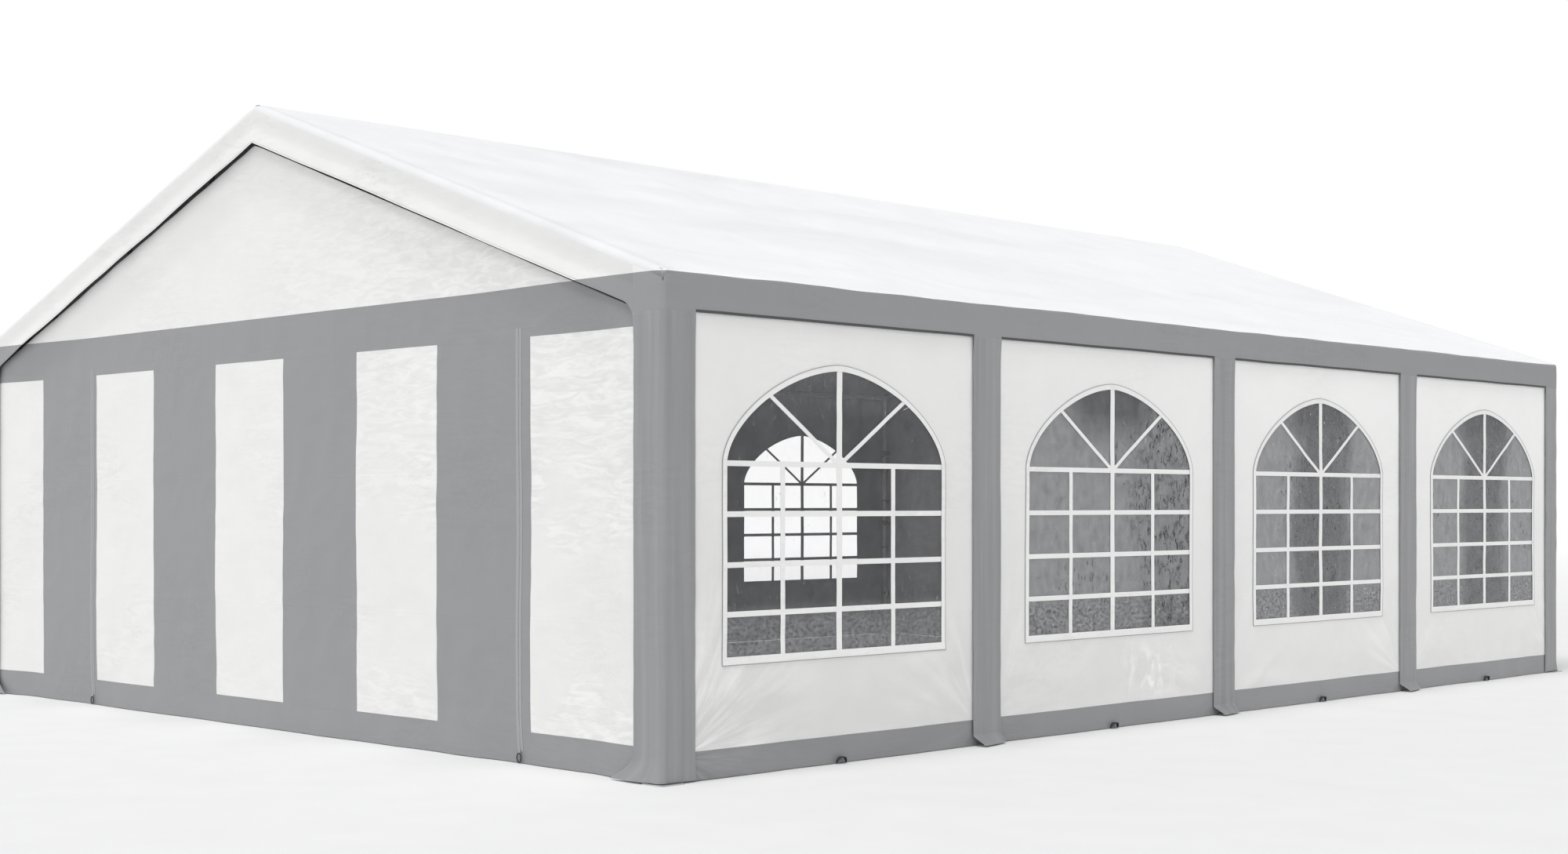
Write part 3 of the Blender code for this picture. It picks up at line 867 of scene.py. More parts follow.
def painted_corner_sheen(cut):
    """Painted light: streaks of painted sheen and shade that fan out from every bay's two lower corners, a
    painted glint low in the second bay, and painted light that grows towards the top and towards the back.
    """
    x, y = cut.part("X"), cut.part("Y")
    out = x.maths("PINGPONG", bay_length / 2) + (PULL_CORNER[0] - bay_length / 2)
    up = y - PULL_CORNER[1]
    reach = (out * out + up * up).maths("SQRT")
    half_bay = (x / (bay_length / 2)).maths("FLOOR")
    turned = {"X": up.maths("ARCTAN2", out) * 5.5, "Y": reach * 1.6, "Z": half_bay}
    fan = wire(cut.tree, "ShaderNodeCombineXYZ", turned)
    streaks = fan.noise(1.0, 4.0, roughness=0.6).ramp(0.44, 0.64, 0.0, 1.0)
    # Painted sheen in the corner streaks, and a painted glint low in the second bay
    strong = (x < bay_middles[0]).most(cut.noise(0.9, 1.0).ramp(0.40, 0.58, 0.05, 0.4))
    sheen = (streaks * 0.24 - 0.06) * reach.ramp(0.10, 0.95, 1.0, 0.0) * strong
    gleam = cut.stretched(15.0, 8.0).noise(1.0, 5.0, 1.0).ramp(0.46, 0.62, 0.0, 0.20)
    gleam = gleam * abs(x - GLEAM_PLACE).ramp(0.06, 0.26, 1.0, 0.0)
    gleam = gleam * y.ramp(SIDE_BAND_Z, 0.2, 0.0, 1.0) * y.ramp(0.30, 0.45, 1.0, 0.0)
    # Painted light: lighter towards the top and towards the back
    risen = (y / 2.0).ramp(0.1, 0.85, 0.935, 1.065)
    backwards = (x * 0.125 + 0.5).ramp(0.2, 0.6, 0.985, 1.075)
    return sheen + gleam + risen * backwards


def foot_band(cut):
    return cut.part("Y") < SIDE_BAND_Z


def foot_seam(cut):
    return near(cut.part("Y"), SIDE_BAND_Z)


side_film = film_material("side_film", foot_band, foot_seam, wear_and_shade=0.025, painted_light=painted_corner_sheen)
outline = window_outline()
window_area = 2 * abs(float(np.sum((outline[0][1:] + outline[0][:-1]) / 2 * np.diff(outline[1]))))
half, height = bay_length / 2, wall_top_z - WALL_FOOT_Z
angles = ray_angles([(WINDOW_HALF_WIDTH, WINDOW_SILL_Z), (half, WALL_FOOT_Z), (half, wall_top_z)])
to_side = half / np.maximum(np.cos(angles), 1e-9)
level = np.where(np.sin(angles) > 0, wall_top_z - WINDOW_MIDDLE_Z, WINDOW_MIDDLE_Z - WALL_FOOT_Z)
to_level = level / np.maximum(np.abs(np.sin(angles)), 1e-9)
inner, outer = both_halves(ray_reach(angles, *outline), 1), both_halves(np.minimum(to_side, to_level), 1)
across, up = both_halves(np.cos(angles), -1), both_halves(np.sin(angles), 1)
reach = inner + (outer - inner) * np.linspace(0.0, 1.0, RINGS)[:, None] ** RING_CROWDING
for side, side_name in SIDES:
    for way, end_name in ENDS:
        bm = bmesh.new()
        for middle in bay_middles:
            if middle * way * side > 0:
                u, v = middle + reach * across, WINDOW_MIDDLE_Z + reach * up
                add_grid(bm, on_side(side, u, v, wall_off(u, v, wall_seed(side))), u, v)
        bmesh.ops.remove_doubles(bm, verts=bm.verts, dist=SAME_PLACE)
        wall = sheet_piece(plain_mesh(bm, f"wall_{side_name}_{end_name}"), side_film)
        2 * bay_length * height - 2 * window_area
        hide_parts(f"side_wall_{side_name}_{end_name}")


# Windows: clear soft film welded behind each opening, with a white frame and white glazing bars
# of the same sheet welded on its outer face. The film is a little slack, clouded and scuffed; its
# extra haze past the first bay is painted reflection, and its dark crinkles are painted shade.
FILM_THICKNESS = 0.0005
FILM_LAP = 0.012
FILM_RINGS = 15
FRAME_WIDTH = 0.025
FRAME_LAP = 0.009
SILL_BAR = 0.030
BAR_THICKNESS = 0.0006
BAR_LAP = 0.004
BAR_WIDTH = 0.023
UPRIGHT_BAR_WIDTH = 0.027
CENTRE_BAR_WIDTH = 0.034
FAN_BAR_WIDTH = 0.019
BAR_HEIGHTS = (0.660, 0.861, 1.068, 1.275)
BAR_ACROSS = 0.345
FAN_END = (0.42, 1.56)
BAR_STEP = 0.03
FILM_DEPTH = 0.0016
BAR_LIFT = 0.0022
FAN_BAR_LIFT = 0.0024
UPRIGHT_LIFT = 0.0026
FRAME_LIFT = 0.0042
# The haze's colour, which past the first bay is painted reflection, and the dark marks' colour, which in the
# crinkles is painted shade
CLOUD = (0.72, 0.73, 0.75)
MARK = (0.05, 0.05, 0.055)


def film_off(u, v, middle, seed):
    """How far a window's film stands off the wall's plane: flush at its edge, slack inside."""
    across = np.abs(u - middle)
    angle = np.arctan2(v - WINDOW_MIDDLE_Z, across)
    share = np.hypot(across, v - WINDOW_MIDDLE_Z) / ray_reach(angle, *outline)
    number = seed + int(round(middle * 10)) % 7
    waves = 0.0012 * ripples(u, v, number + 70, 0.55) + 0.0008 * ripples(u, v, number + 80, 0.14)
    return wall_off(u, v, seed) - FILM_DEPTH + smooth_step(1.0, 0.8, share) * waves


def clear_film_inputs(tree):
    """Clear film: a light haze in every window, and more haze in all bays but the first, which is
    painted reflection of the film seen at a grazing angle. Down each window runs an upright band of
    crinkles painted dark as painted shade, with dark specks and pale scratches, and the lowest row
    has dark blotches. The left side's last window is the clearest."""
    cut, effects = cut_and_effects(tree, Crumple_Size=0.16)

    def noise(across, up, detail, distortion=0.0):
        return cut.stretched(across, up).noise(1.0, detail, distortion)

    along, height = cut.part("X"), cut.part("Y")
    past_first, past_second = along > -bay_length, along > 0.0
    low_row = height.ramp(0.62, 0.70, 1.0, 0.0)
    high = (height / 2.0).ramp(0.68, 0.78, 0.0, 1.0)
    first_crown = high * (1.0 - past_first)
    bay = (along / bay_length).maths("FLOOR")
    across = along - (bay * bay_length + bay_length / 2)
    bent = noise(3.0, 1.6, 3.0) * 0.5 - 0.25
    from_band = abs(across - (past_second * -0.48 + 0.50) + bent)
    band = from_band.ramp(0.20, 0.34, 1.0, 0.0) * (past_first * 0.55 + 0.45)

    wavy = abs(noise(30.0, 8.0, 3.0, 2.2) - 0.5).ramp(0.01, 0.055, 1.0, 0.0)
    lines = wavy * noise(13.0, 13.0, 1.0).ramp(0.46, 0.56, 0.0, 1.0) * band.most(first_crown)
    strewn = band.most(noise(2.0, 2.6, 2.0).ramp(0.50, 0.60, 0.05, 0.8))
    flecks = noise(55.0, 26.0, 2.0, 0.8).ramp(0.60, 0.66, 0.0, 1.0) * strewn
    blotches = noise(46.0, 70.0, 6.0, 0.3).ramp(0.40, 0.66, 0.0, 0.7) * low_row
    # Painted shade: the crinkle lines are painted dark; the specks and blotches are dark marks too
    marks = (lines.most(flecks) * (past_first * 0.4 + 0.6)).most(blotches)
    scratches = noise(75.0, 24.0, 3.0, 0.6).ramp(0.69, 0.74, 0.0, 0.4) * band.most(0.3)

    # Painted reflection: the extra haze in the bays past the first
    cloud = past_first * 0.19 + past_second * 0.03 + low_row * (past_first * -0.10 + 0.13)
    cloud = cloud + first_crown * 0.02 + 0.06
    crown = high * abs(across).ramp(0.22, 0.45, 0.62, 0.0)
    thinned = 1.0 - (band * (past_second * 0.36 + 0.14)).most(crown) * past_first
    haze = cloud * thinned * (noise(22.0, 14.0, 5.0) * 0.9 + 0.55)
    cover = (haze + scratches).most(marks * (past_second * 0.2 + 0.4))
    full_haze = past_first.most(object_place(tree).part("X") > 0.0)
    return {
        "Base Color": marks.mix(CLOUD, MARK),
        "Alpha": cover * (full_haze * 0.88 + 0.12),
        "Roughness": effects["Mottle"].ramp(0.3, 0.7, 0.08, 0.22),
        "IOR": 1.53,
        "Normal": effects["Crumple"].bump(0.35, 0.0015),
    }


def bar_rows(start, end, width=BAR_WIDTH):
    """A straight glazing bar's rows of cut places, across its width and along it."""
    start, end = np.array(start), np.array(end)
    length = float(np.hypot(*(end - start)))
    way = (end - start) / length
    along = spaced(0.0, length, BAR_STEP)
    across = np.array([1.0, 0.0, -1.0])[:, None] * width / 2
    return start[0] + along * way[0] - across * way[1], start[1] + along * way[1] + across * way[0]


clear_film = new_material("clear_window_film", clear_film_inputs)
crown_z = WINDOW_SPRING_Z + WINDOW_RISE
spring = BAR_HEIGHTS[-1]
angles = ray_angles([(WINDOW_HALF_WIDTH + FILM_LAP, WINDOW_SILL_Z - FILM_LAP)])
reach = both_halves(ray_reach(angles, *window_outline(FILM_LAP)), 1)
reach = reach * np.linspace(0.0, 1.0, FILM_RINGS + 1)[:, None]
across, up = both_halves(np.cos(angles), -1), both_halves(np.sin(angles), 1)
rings = [window_outline(-FRAME_LAP, -SILL_BAR), window_outline(FRAME_WIDTH - FRAME_LAP, 0.002)]
(inner_u, inner_v), (outer_u, outer_v) = [(both_halves(u, -1), both_halves(v, 1)) for u, v in rings]
share = np.array([0.0, 0.33, 0.67, 1.0])[:, None]
frame_rows = inner_u + (outer_u - inner_u) * share, inner_v + (outer_v - inner_v) * share
bars_of_window = [(frame_rows, FRAME_LIFT)]
reach_out = WINDOW_HALF_WIDTH + BAR_LAP
bars_of_window += [(bar_rows((-reach_out, z), (reach_out, z)), BAR_LIFT) for z in BAR_HEIGHTS]
uprights = [(way * BAR_ACROSS, spring, UPRIGHT_BAR_WIDTH) for way in (-1, 1)]
uprights.append((0.0, crown_z + BAR_LAP, CENTRE_BAR_WIDTH))
for place, top, width in uprights:
    bars_of_window.append((bar_rows((place, WINDOW_SILL_Z + 0.01), (place, top), width), UPRIGHT_LIFT))
for way in (-1, 1):
    fan_bar = bar_rows((0.0, spring), (way * FAN_END[0], FAN_END[1]), FAN_BAR_WIDTH)
    bars_of_window.append((fan_bar, FAN_BAR_LIFT))

for side, side_name in SIDES:
    for number, middle in enumerate(bay_middles, 1):
        seed = wall_seed(side)
        u, v = middle + reach * across, WINDOW_MIDDLE_Z + reach * up
        bm = bmesh.new()
        add_grid(bm, on_side(side, u, v, film_off(u, v, middle, seed)), u, v)
        bmesh.ops.remove_doubles(bm, verts=bm.verts, dist=1e-6)
        mesh = plain_mesh(bm, f"window_film_{side_name}_{number}")
        film = sheet_piece(mesh, clear_film, FILM_THICKNESS, shaded_inside=False)
        bm = bmesh.new()
        for (u, v), lift in bars_of_window:
            points = on_side(side, middle + u, v, film_off(middle + u, v, middle, seed) + lift)
            add_grid(bm, points, middle + u, v, closed=lift == FRAME_LIFT)
        mesh = plain_mesh(bm, f"window_bars_{side_name}_{number}")
        bars = sheet_piece(mesh, bar_film, thickness=BAR_THICKNESS)
        f"wall_{side_name}_{'front' if middle * side < 0 else 'back'}"
        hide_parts(f"window_{side_name}_{number if side > 0 else len(bay_middles) + 1 - number}")


# Gable walls: sheets welded together from nine upright stripes, white and grey in turn, with a
# grey band along the foot and one at the eaves. Two zips free the door between them.
GABLE_FACE_Y = 3.9402
GABLE_HALF_WIDTH = 2.932
STRIPE_WIDTH = 0.63
FIRST_STRIPE_X = -2.98
GABLE_BAND_TOP_Z = 0.14
GABLE_GREY_LOW_Z = 1.82
ZIP_ALLOWANCE = 0.042
DOOR_LEFT_X = -1.77
DOOR_RIGHT_X = 2.02
DOOR_TOP_Z = 1.86
GABLE_SHIFT = 0.041
GABLE_SHIFT_TAPER = 0.0045
GABLE_LEAN = 0.035
GABLE_STEP = 0.026
gable_edges = (-GABLE_HALF_WIDTH, DOOR_LEFT_X, DOOR_RIGHT_X, GABLE_HALF_WIDTH)


def stripe_place(cut):
    """How many stripe widths a place lies from the first stripe's left edge."""
    across = cut.part("X")
    start = (across > DOOR_RIGHT_X) * ZIP_ALLOWANCE + FIRST_STRIPE_X
    return ((across - start) / STRIPE_WIDTH).most(0.1).least(8.9)


def gable_grey(cut):
    """Grey in every other stripe, in the foot band and in the band at the eaves."""
    height = cut.part("Y")
    stripe = stripe_place(cut).maths("MODULO", 2.0) > 1.0
    return (height < GREY_TOP_Z) * stripe.most(height > GABLE_GREY_LOW_Z).most(height < GABLE_BAND_TOP_Z)


def gable_seams(cut):
    """Welds along the stripes' edges and the bands' edges."""
    height = cut.part("Y")
    seams = (stripe_place(cut).maths("PINGPONG", 0.5) < 0.012) * (height < GREY_TOP_Z)
    for level in (GABLE_BAND_TOP_Z, GABLE_GREY_LOW_Z, GREY_TOP_Z):
        seams = seams.most(near(height, level))
    return seams


def painted_gable_sheen(cut):
    """Painted highlights and shade of crinkles lying across the sheet, high and low on its right part, and
    the sheet painted a little darker towards the right.
    """
    crinkle = cut.stretched(6.0, 26.0).noise(1.0, 5.0, 1.4).ramp(0.40, 0.62, 0.0, 1.0)
    height = cut.noise(2.4) * 0.7 + (cut.part("Y") / 2.0 - 0.35)
    high = height.ramp(0.48, 0.60, 0.0, 1.0).most(height.ramp(0.15, 0.22, 1.0, 0.0))
    to_right = (cut.part("X") * 0.2 + 0.5).ramp(0.42, 0.90, 0.08, 1.0)
    shine = (crinkle * 0.11 - 0.035) * (gable_grey(cut) * -0.75 + 1.0)
    return shine * high * to_right + (to_right * -0.035 + 1.0)


def gable_top(u):
    """Height of a gable wall's upper edge: it hangs off the middle, and just short of the flaps."""
    shifted = u + GABLE_SHIFT - GABLE_SHIFT_TAPER * u
    gap = 0.002 + smooth_step(0.05, -0.15, u) * (0.004 + 0.004 * (1.0 - np.abs(u) / half_width))
    return roof_z(shifted) - FLAP_DROP - gap


def gable_off(u, v, seed):
    """How far a gable wall stands off its plane: pulled out to the rafters and legs along its
    edges, slack towards its foot."""
    at_edge = smooth_step(GABLE_HALF_WIDTH, GABLE_HALF_WIDTH - 0.3, np.abs(u))
    beside = smooth_step(2.45, 2.82, np.abs(u))
    below_flap = smooth_step(0.26, 0.02, gable_top(u) - v)
    lean = GABLE_LEAN * np.maximum(beside, below_flap)
    hung = smooth_step(2.2, 1.2, v)
    upright = 0.0015 * ripples(u * 1.6, v * 0.25, seed, 0.5) + 0.0012 * ripples(u, v, seed + 1, 0.2)
    broad = 0.0045 * ripples(u, v, seed + 2, 1.3)
    sharp = 0.0024 * creases(u * 0.6, v * 1.5, seed + 3, 0.3)
    hem = 0.006 * smooth_step(0.25, 0.0, v) * ripples(u, 0.0 * u, seed + 4, 0.55)
    at_zip = 1.0 - 0.6 * sum(np.exp(-(((u - zip_x) / 0.05) ** 2)) for zip_x in (DOOR_LEFT_X, DOOR_RIGHT_X))
    return lean + at_edge * ((0.35 + 0.65 * hung) * broad + at_zip * (upright + sharp) + hem)


def on_gable(end, u, v, lift=0.0):
    """Places of a gable wall's cut, lifted off its outer face."""
    u, v = np.broadcast_arrays(u, v)
    off = gable_off(u, v, 90 if end < 0 else 95) + lift
    return np.stack([-end * u, end * (GABLE_FACE_Y + off), v], axis=-1)


gable_film = film_material(
    "gable_film", gable_grey, gable_seams, crumple_height=0.005, wear_and_shade=0.05, painted_light=painted_gable_sheen
)
u = stretches(gable_edges[0], *((edge, GABLE_STEP) for edge in gable_edges[1:]))
low_v = spaced(WALL_FOOT_Z, DOOR_TOP_Z, GABLE_STEP)[:, None]
top = gable_top(u)
v = np.concatenate([low_v + 0.0 * u, DOOR_TOP_Z + (top - DOOR_TOP_Z) * spaced(0.0, 1.0, 0.042)[1:, None]])
u = np.broadcast_to(u, v.shape)
inside = (u > DOOR_LEFT_X + 1e-6) & (u < DOOR_RIGHT_X - 1e-6) & (v < DOOR_TOP_Z - 1e-6)
at_door = (u > DOOR_LEFT_X - 1e-6) & (u < DOOR_RIGHT_X + 1e-6) & (v < DOOR_TOP_Z + 1e-6)
cut = np.stack([u, v], axis=-1)
for end, end_name in ENDS:
    wall_points = on_gable(end, u, v)
    door_points = wall_points.copy()
    wall_points[inside] = np.nan
    door_points[~at_door] = np.nan
    wall = sheet_piece(sheet_mesh(f"gable_sheet_{end_name}", wall_points, cut), gable_film)
    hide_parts(f"gable_wall_{end_name}")
    door = sheet_piece(sheet_mesh(f"door_sheet_{end_name}", door_points, cut), gable_film)
    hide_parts(f"door_{end_name}")


# Zips: two a gable, from the hem up to the door's top corners. Each has a woven tape on either
# side, a chain of moulded teeth, and a slider whose cord pull hangs just over the hem.
ZIP_FOOT_Z = 0.052
TAPE_WIDTH = 0.016
TAPE_GAP = 0.0035
TAPE_LIFT = 0.0012
TAPE_THICKNESS = 0.0009
TEETH_LIFT = 0.0010
TOOTH_PITCH = 0.0045
TOOTH_SIZE = (0.0024, 0.0075, 0.0026)
SLIDER_SIZE = (0.011, 0.006, 0.017)
SLIDER_LIFT = 0.004
SLIDER_ROUNDING = 0.0018
RING_STEPS = 20
PULL_HALF = (0.014, 0.019)
PULL_DROP = 0.027
PULL_CORD = 0.0030
TEETH_DARK = (0.40, 0.403, 0.408)
TEETH_PALE = (0.48, 0.483, 0.488)


def build_strung_units():
    """Small blocks strung along a path, each turned along it and faced outwards."""
    group = bpy.data.node_groups.new("strung_units", "GeometryNodeTree")
    sockets = {"Geometry": "Geometry", "Pitch": "Float", "Unit Size": "Vector"}
    sockets |= {"Outward": "Vector", "Finish": "Material"}
    for name, kind in sockets.items():
        group.interface.new_socket(name, in_out="INPUT", socket_type=f"NodeSocket{kind}")
    group.interface.new_socket("Geometry", in_out="OUTPUT", socket_type="NodeSocketGeometry")
    source = group.nodes.new("NodeGroupInput").outputs
    path, pitch, size, outward, finish = [Wire(group, source[name]) for name in sockets]
    curve = wire(group, "GeometryNodeMeshToCurve", {"Mesh": path})
    even = wire(group, "GeometryNodeResampleCurve", {"Curve": curve, "Length": pitch}, mode="LENGTH")
    tangent = wire(group, "GeometryNodeInputTangent", {})
    along = wire(group, "FunctionNodeAlignRotationToVector", {"Vector": tangent}, axis="X")
    faced = {"Rotation": along, "Vector": outward}
    faced = wire(group, "FunctionNodeAlignRotationToVector", faced, axis="Z", pivot_axis="X")
    block = wire(group, "GeometryNodeMeshCube", {"Size": size})
    placed = {"Points": even, "Instance": block, "Rotation": faced}
    placed = wire(group, "GeometryNodeInstanceOnPoints", placed)
    real = wire(group, "GeometryNodeRealizeInstances", {"Geometry": placed})
    painted = wire(group, "GeometryNodeSetMaterial", {"Geometry": real, "Material": finish})
    feed(group, group.nodes.new("NodeGroupOutput"), {"Geometry": painted})
    return group


strung_units = build_strung_units()


def evaluated(carrier):
    """The plain mesh that an object's modifier or curve makes, in place of that object."""
    shown.link(carrier)
    bpy.context.view_layer.update()
    result = bpy.data.meshes.new_from_object(carrier.evaluated_get(bpy.context.evaluated_depsgraph_get()))
    carrier.modifiers.clear()
    bpy.data.objects.remove(carrier)
    return result


def strung_mesh(paths, values):
    """Runs the strung units along open paths and returns them as one plain mesh."""
    mesh = bpy.data.meshes.new("path")
    points, edges = [], []
    for path in paths:
        edges += [(len(points) + i, len(points) + i + 1) for i in range(len(path) - 1)]
        points += [tuple(map(float, point)) for point in path]
    mesh.from_pydata(points, edges, [])
    carrier = bpy.data.objects.new("path", mesh)
    strung = carrier.modifiers.new("strung_units", "NODES")
    strung.node_group = strung_units
    for item in strung_units.interface.items_tree:
        if item.in_out == "INPUT" and item.name in values:
            strung[item.identifier] = values[item.name]
    return evaluated(carrier)


def joined(name, meshes, material, smooth=True):
    """One finished piece out of several plain meshes."""
    bm = bmesh.new()
    for mesh in meshes:
        bm.from_mesh(mesh)
    finished(plain_mesh(bm, name), material, smooth)


def strip_mesh(lines, thickness, outward):
    """A strip through rows of points, thickened inwards from its outer face."""
    outer = np.array([[tuple(point) for point in line] for line in lines])
    inner = outer - np.asarray(outward) * thickness
    bm = bmesh.new()
    rows = [[bm.verts.new(point) for point in row] for row in (*outer, *inner[::-1])]
    for i in range(len(rows)):
        for a, b, c, d in zip(rows[i - 1], rows[i - 1][1:], rows[i][1:], rows[i]):
            bm.faces.new((a, b, c, d))
    for i in range(len(lines) - 1):
        for end in (0, -1):
            bm.faces.new([rows[k][end] for k in (i, i + 1, -i - 2, -i - 1)])
    bmesh.ops.recalc_face_normals(bm, faces=bm.faces)
    return plain_mesh(bm, "strip")


def tube_mesh(path, radius, sides=8):
    """A round cord along a closed path."""
    curve = bpy.data.curves.new("tube", "CURVE")
    curve.dimensions = "3D"
    curve.bevel_depth = radius
    curve.bevel_resolution = sides // 4 - 1
    spline = curve.splines.new("POLY")
    spline.points.add(len(path) - 1)
    for point, place in zip(spline.points, path):
        point.co = (*place, 1.0)
    spline.use_cyclic_u = True
    return evaluated(bpy.data.objects.new("tube", curve))


def webbing_material(name, dark, pale, rib):
    """Woven tape or cord: fine ribs across two close shades."""

    def shader_inputs(tree):
        place = object_place(tree)
        ribs = {"Vector": place, "Scale": 1.0 / rib, "Distortion": 0.6}
        ribs = wire(tree, "ShaderNodeTexWave", ribs, "Fac", bands_direction="Z")
        fuzz = place.noise(900.0)
        weave = ribs * fuzz
        return {
            "Base Color": weave.ramp(0.1, 0.6, dark, pale),
            "Roughness": fuzz.ramp(0.2, 0.8, 0.7, 0.9),
            "Normal": weave.bump(0.5, 0.0004),
        }

    return new_material(name, shader_inputs)


def teeth_inputs(tree):
    wear_and_shade = object_place(tree).noise(40.0, 4.0)
    roughness = wear_and_shade.ramp(0.3, 0.7, 0.3, 0.45)
    return {"Base Color": wear_and_shade.ramp(0.3, 0.7, TEETH_DARK, TEETH_PALE), "Roughness": roughness}


zip_tape = webbing_material("zip_tape", (0.34, 0.343, 0.348), (0.42, 0.423, 0.428), 0.012)
dark_cord = webbing_material("dark_cord", (0.03, 0.03, 0.032), (0.07, 0.07, 0.075), 0.006)
zip_teeth = new_material("zip_teeth", teeth_inputs)
heights = spaced(ZIP_FOOT_Z, DOOR_TOP_Z, 0.03)
for end, end_name in ENDS:
    outward = (0.0, float(end), 0.0)
    tapes, teeth, pulls = [], [], []
    for u in (DOOR_LEFT_X, DOOR_RIGHT_X):
        for way in (-1, 1):
            lines_u = sorted(u + way * (TAPE_GAP + share * TAPE_WIDTH) for share in (0.0, 0.5, 1.0))
            lines = [on_gable(end, line_u, heights, TAPE_LIFT) for line_u in lines_u]
            tapes.append(strip_mesh(lines, TAPE_THICKNESS, outward))
        chain = on_gable(end, u, heights, TEETH_LIFT)
        values = {"Pitch": TOOTH_PITCH, "Unit Size": TOOTH_SIZE, "Outward": outward, "Finish": zip_teeth}
        teeth.append(strung_mesh([chain], values))
        foot = Vector(chain[0]) + Vector((0.0, end * SLIDER_LIFT, 0.0))
        seat = Matrix.Translation(foot) @ Matrix.Diagonal((*SLIDER_SIZE, 1.0))
        slider = bmesh.new()
        bmesh.ops.create_cube(slider, size=1.0, matrix=seat)
        bmesh.ops.bevel(slider, geom=slider.edges[:], offset=SLIDER_ROUNDING, segments=2, affect="EDGES")
        teeth.append(plain_mesh(slider, "slider"))
        loop = []
        for step in range(RING_STEPS):
            angle = math.pi * (2 * step / RING_STEPS - 0.5)
            down = PULL_DROP + PULL_HALF[1] * math.sin(angle)
            loop.append(foot + Vector((PULL_HALF[0] * math.cos(angle), end * SLIDER_LIFT, -down)))
        pulls.append(tube_mesh(loop, PULL_CORD))
    joined(f"zip_tapes_{end_name}", tapes, zip_tape, smooth=False)
    joined(f"zip_teeth_{end_name}", teeth, zip_teeth, smooth=False)
    joined(f"zip_pulls_{end_name}", pulls, dark_cord)


# Hem loops: a short strap of black webbing sewn to the foot of every side bay, standing in a small
# arch over the hem, for a peg.
LOOP_HALF = 0.030
LOOP_HEIGHT = 0.027
STRAP_WIDTH = 0.024
STRAP_THICKNESS = 0.0022
angle = math.pi * np.arange(25) / 24
arch_u = LOOP_HALF * np.cos(angle) * (1.0 - 0.18 * np.sin(angle))
arch_v = WALL_FOOT_Z + 0.001 + LOOP_HEIGHT * np.maximum(np.sin(angle), 0.0) ** 0.8
for side, side_name in SIDES:
    loops = []
    for middle in bay_middles:
        u = middle + arch_u
        path = on_side(side, u, arch_v, wall_off(u, 0.0 * u + 0.02, wall_seed(side)) + 0.004)
        outer = path.copy()
        outer[:, 0] += side * STRAP_WIDTH * (0.4 + 0.6 * np.sin(angle))
        loops.append(strip_mesh([path, outer], STRAP_THICKNESS, (0.0, 0.0, 1.0)))
    joined(f"hem_loops_{side_name}", loops, dark_cord)


# Painted shadow round the windows: a thin grey cord laid along the outer edge of each window's
# frame, in place of the shadow line that the raised frame's edge casts.
SHADOW_CORD_RADIUS = 0.0014
frame_shadow_cord = webbing_material("frame_shadow_cord", (0.34, 0.342, 0.346), (0.44, 0.442, 0.446), 0.004)
half_u, half_v = window_outline(FRAME_WIDTH - FRAME_LAP + SHADOW_CORD_RADIUS, 0.004)
shadow_u, shadow_v = both_halves(half_u, -1), both_halves(half_v, 1)
for side, side_name in SIDES:
    cords = []
    for middle in bay_middles:
        off = film_off(middle + shadow_u, shadow_v, middle, wall_seed(side)) + FRAME_LIFT
        cords.append(tube_mesh(on_side(side, middle + shadow_u, shadow_v, off), SHADOW_CORD_RADIUS, sides=4))
    joined(f"window_frame_shadows_{side_name}", cords, frame_shadow_cord)


# Painted shadow: a dark strip, 12 mm wide, over the foot of each valance from leg cover to leg
# cover, in place of the shadow line along the valance's foot.
SHADOW_STRIP_HEIGHT = 0.012
SHADOW_STRIP_THICKNESS = 0.0011
valance_shadow = webbing_material("painted_valance_shadow", (0.07, 0.072, 0.075), (0.10, 0.102, 0.105), 0.006)
shadow_strip_shares = (-0.006, 0.04, SHADOW_STRIP_HEIGHT / (EAVE_Z - VALANCE_FOOT_Z))
for side, side_name in SIDES:
    tapes = []
    for (low, low_half), (high, high_half) in zip(cover_places, cover_places[1:]):
        s = spaced(low + low_half, high - high_half, 0.03)
        rows = [valance_places(side, s, 0.0 * s + share, 0.0012) for share in shadow_strip_shares]
        tapes.append(strip_mesh(rows, SHADOW_STRIP_THICKNESS, (side, 0.0, 0.0)))
    joined(f"valance_shadow_strips_{side_name}", tapes, valance_shadow, smooth=False)


# Stitches: single rows of grey thread, 5 mm a stitch, along the flaps' feet, both edges of every
# leg cover, and the hems of the side and gable walls. Stitches lie sunk in the soft sheet.
STITCH_PITCH = 0.0075
STITCH_SIZE = (0.0050, 0.0010, 0.0009)
STITCH_LIFT = 0.0002
SEWN_IN = 0.009
WALL_HEM = 0.030
THREAD_DARK = (0.34, 0.34, 0.335)
THREAD_PALE = (0.44, 0.44, 0.435)


def thread_inputs(tree):
    fuzz = object_place(tree).noise(700.0)
    roughness = fuzz.ramp(0.3, 0.7, 0.6, 0.8)
    return {"Base Color": fuzz.ramp(0.3, 0.7, THREAD_DARK, THREAD_PALE), "Roughness": roughness}


def sew(name, paths, outward):
    values = {"Pitch": STITCH_PITCH, "Unit Size": STITCH_SIZE, "Outward": outward, "Finish": thread}
    joined(name, [strung_mesh(paths, values)], thread, smooth=False)


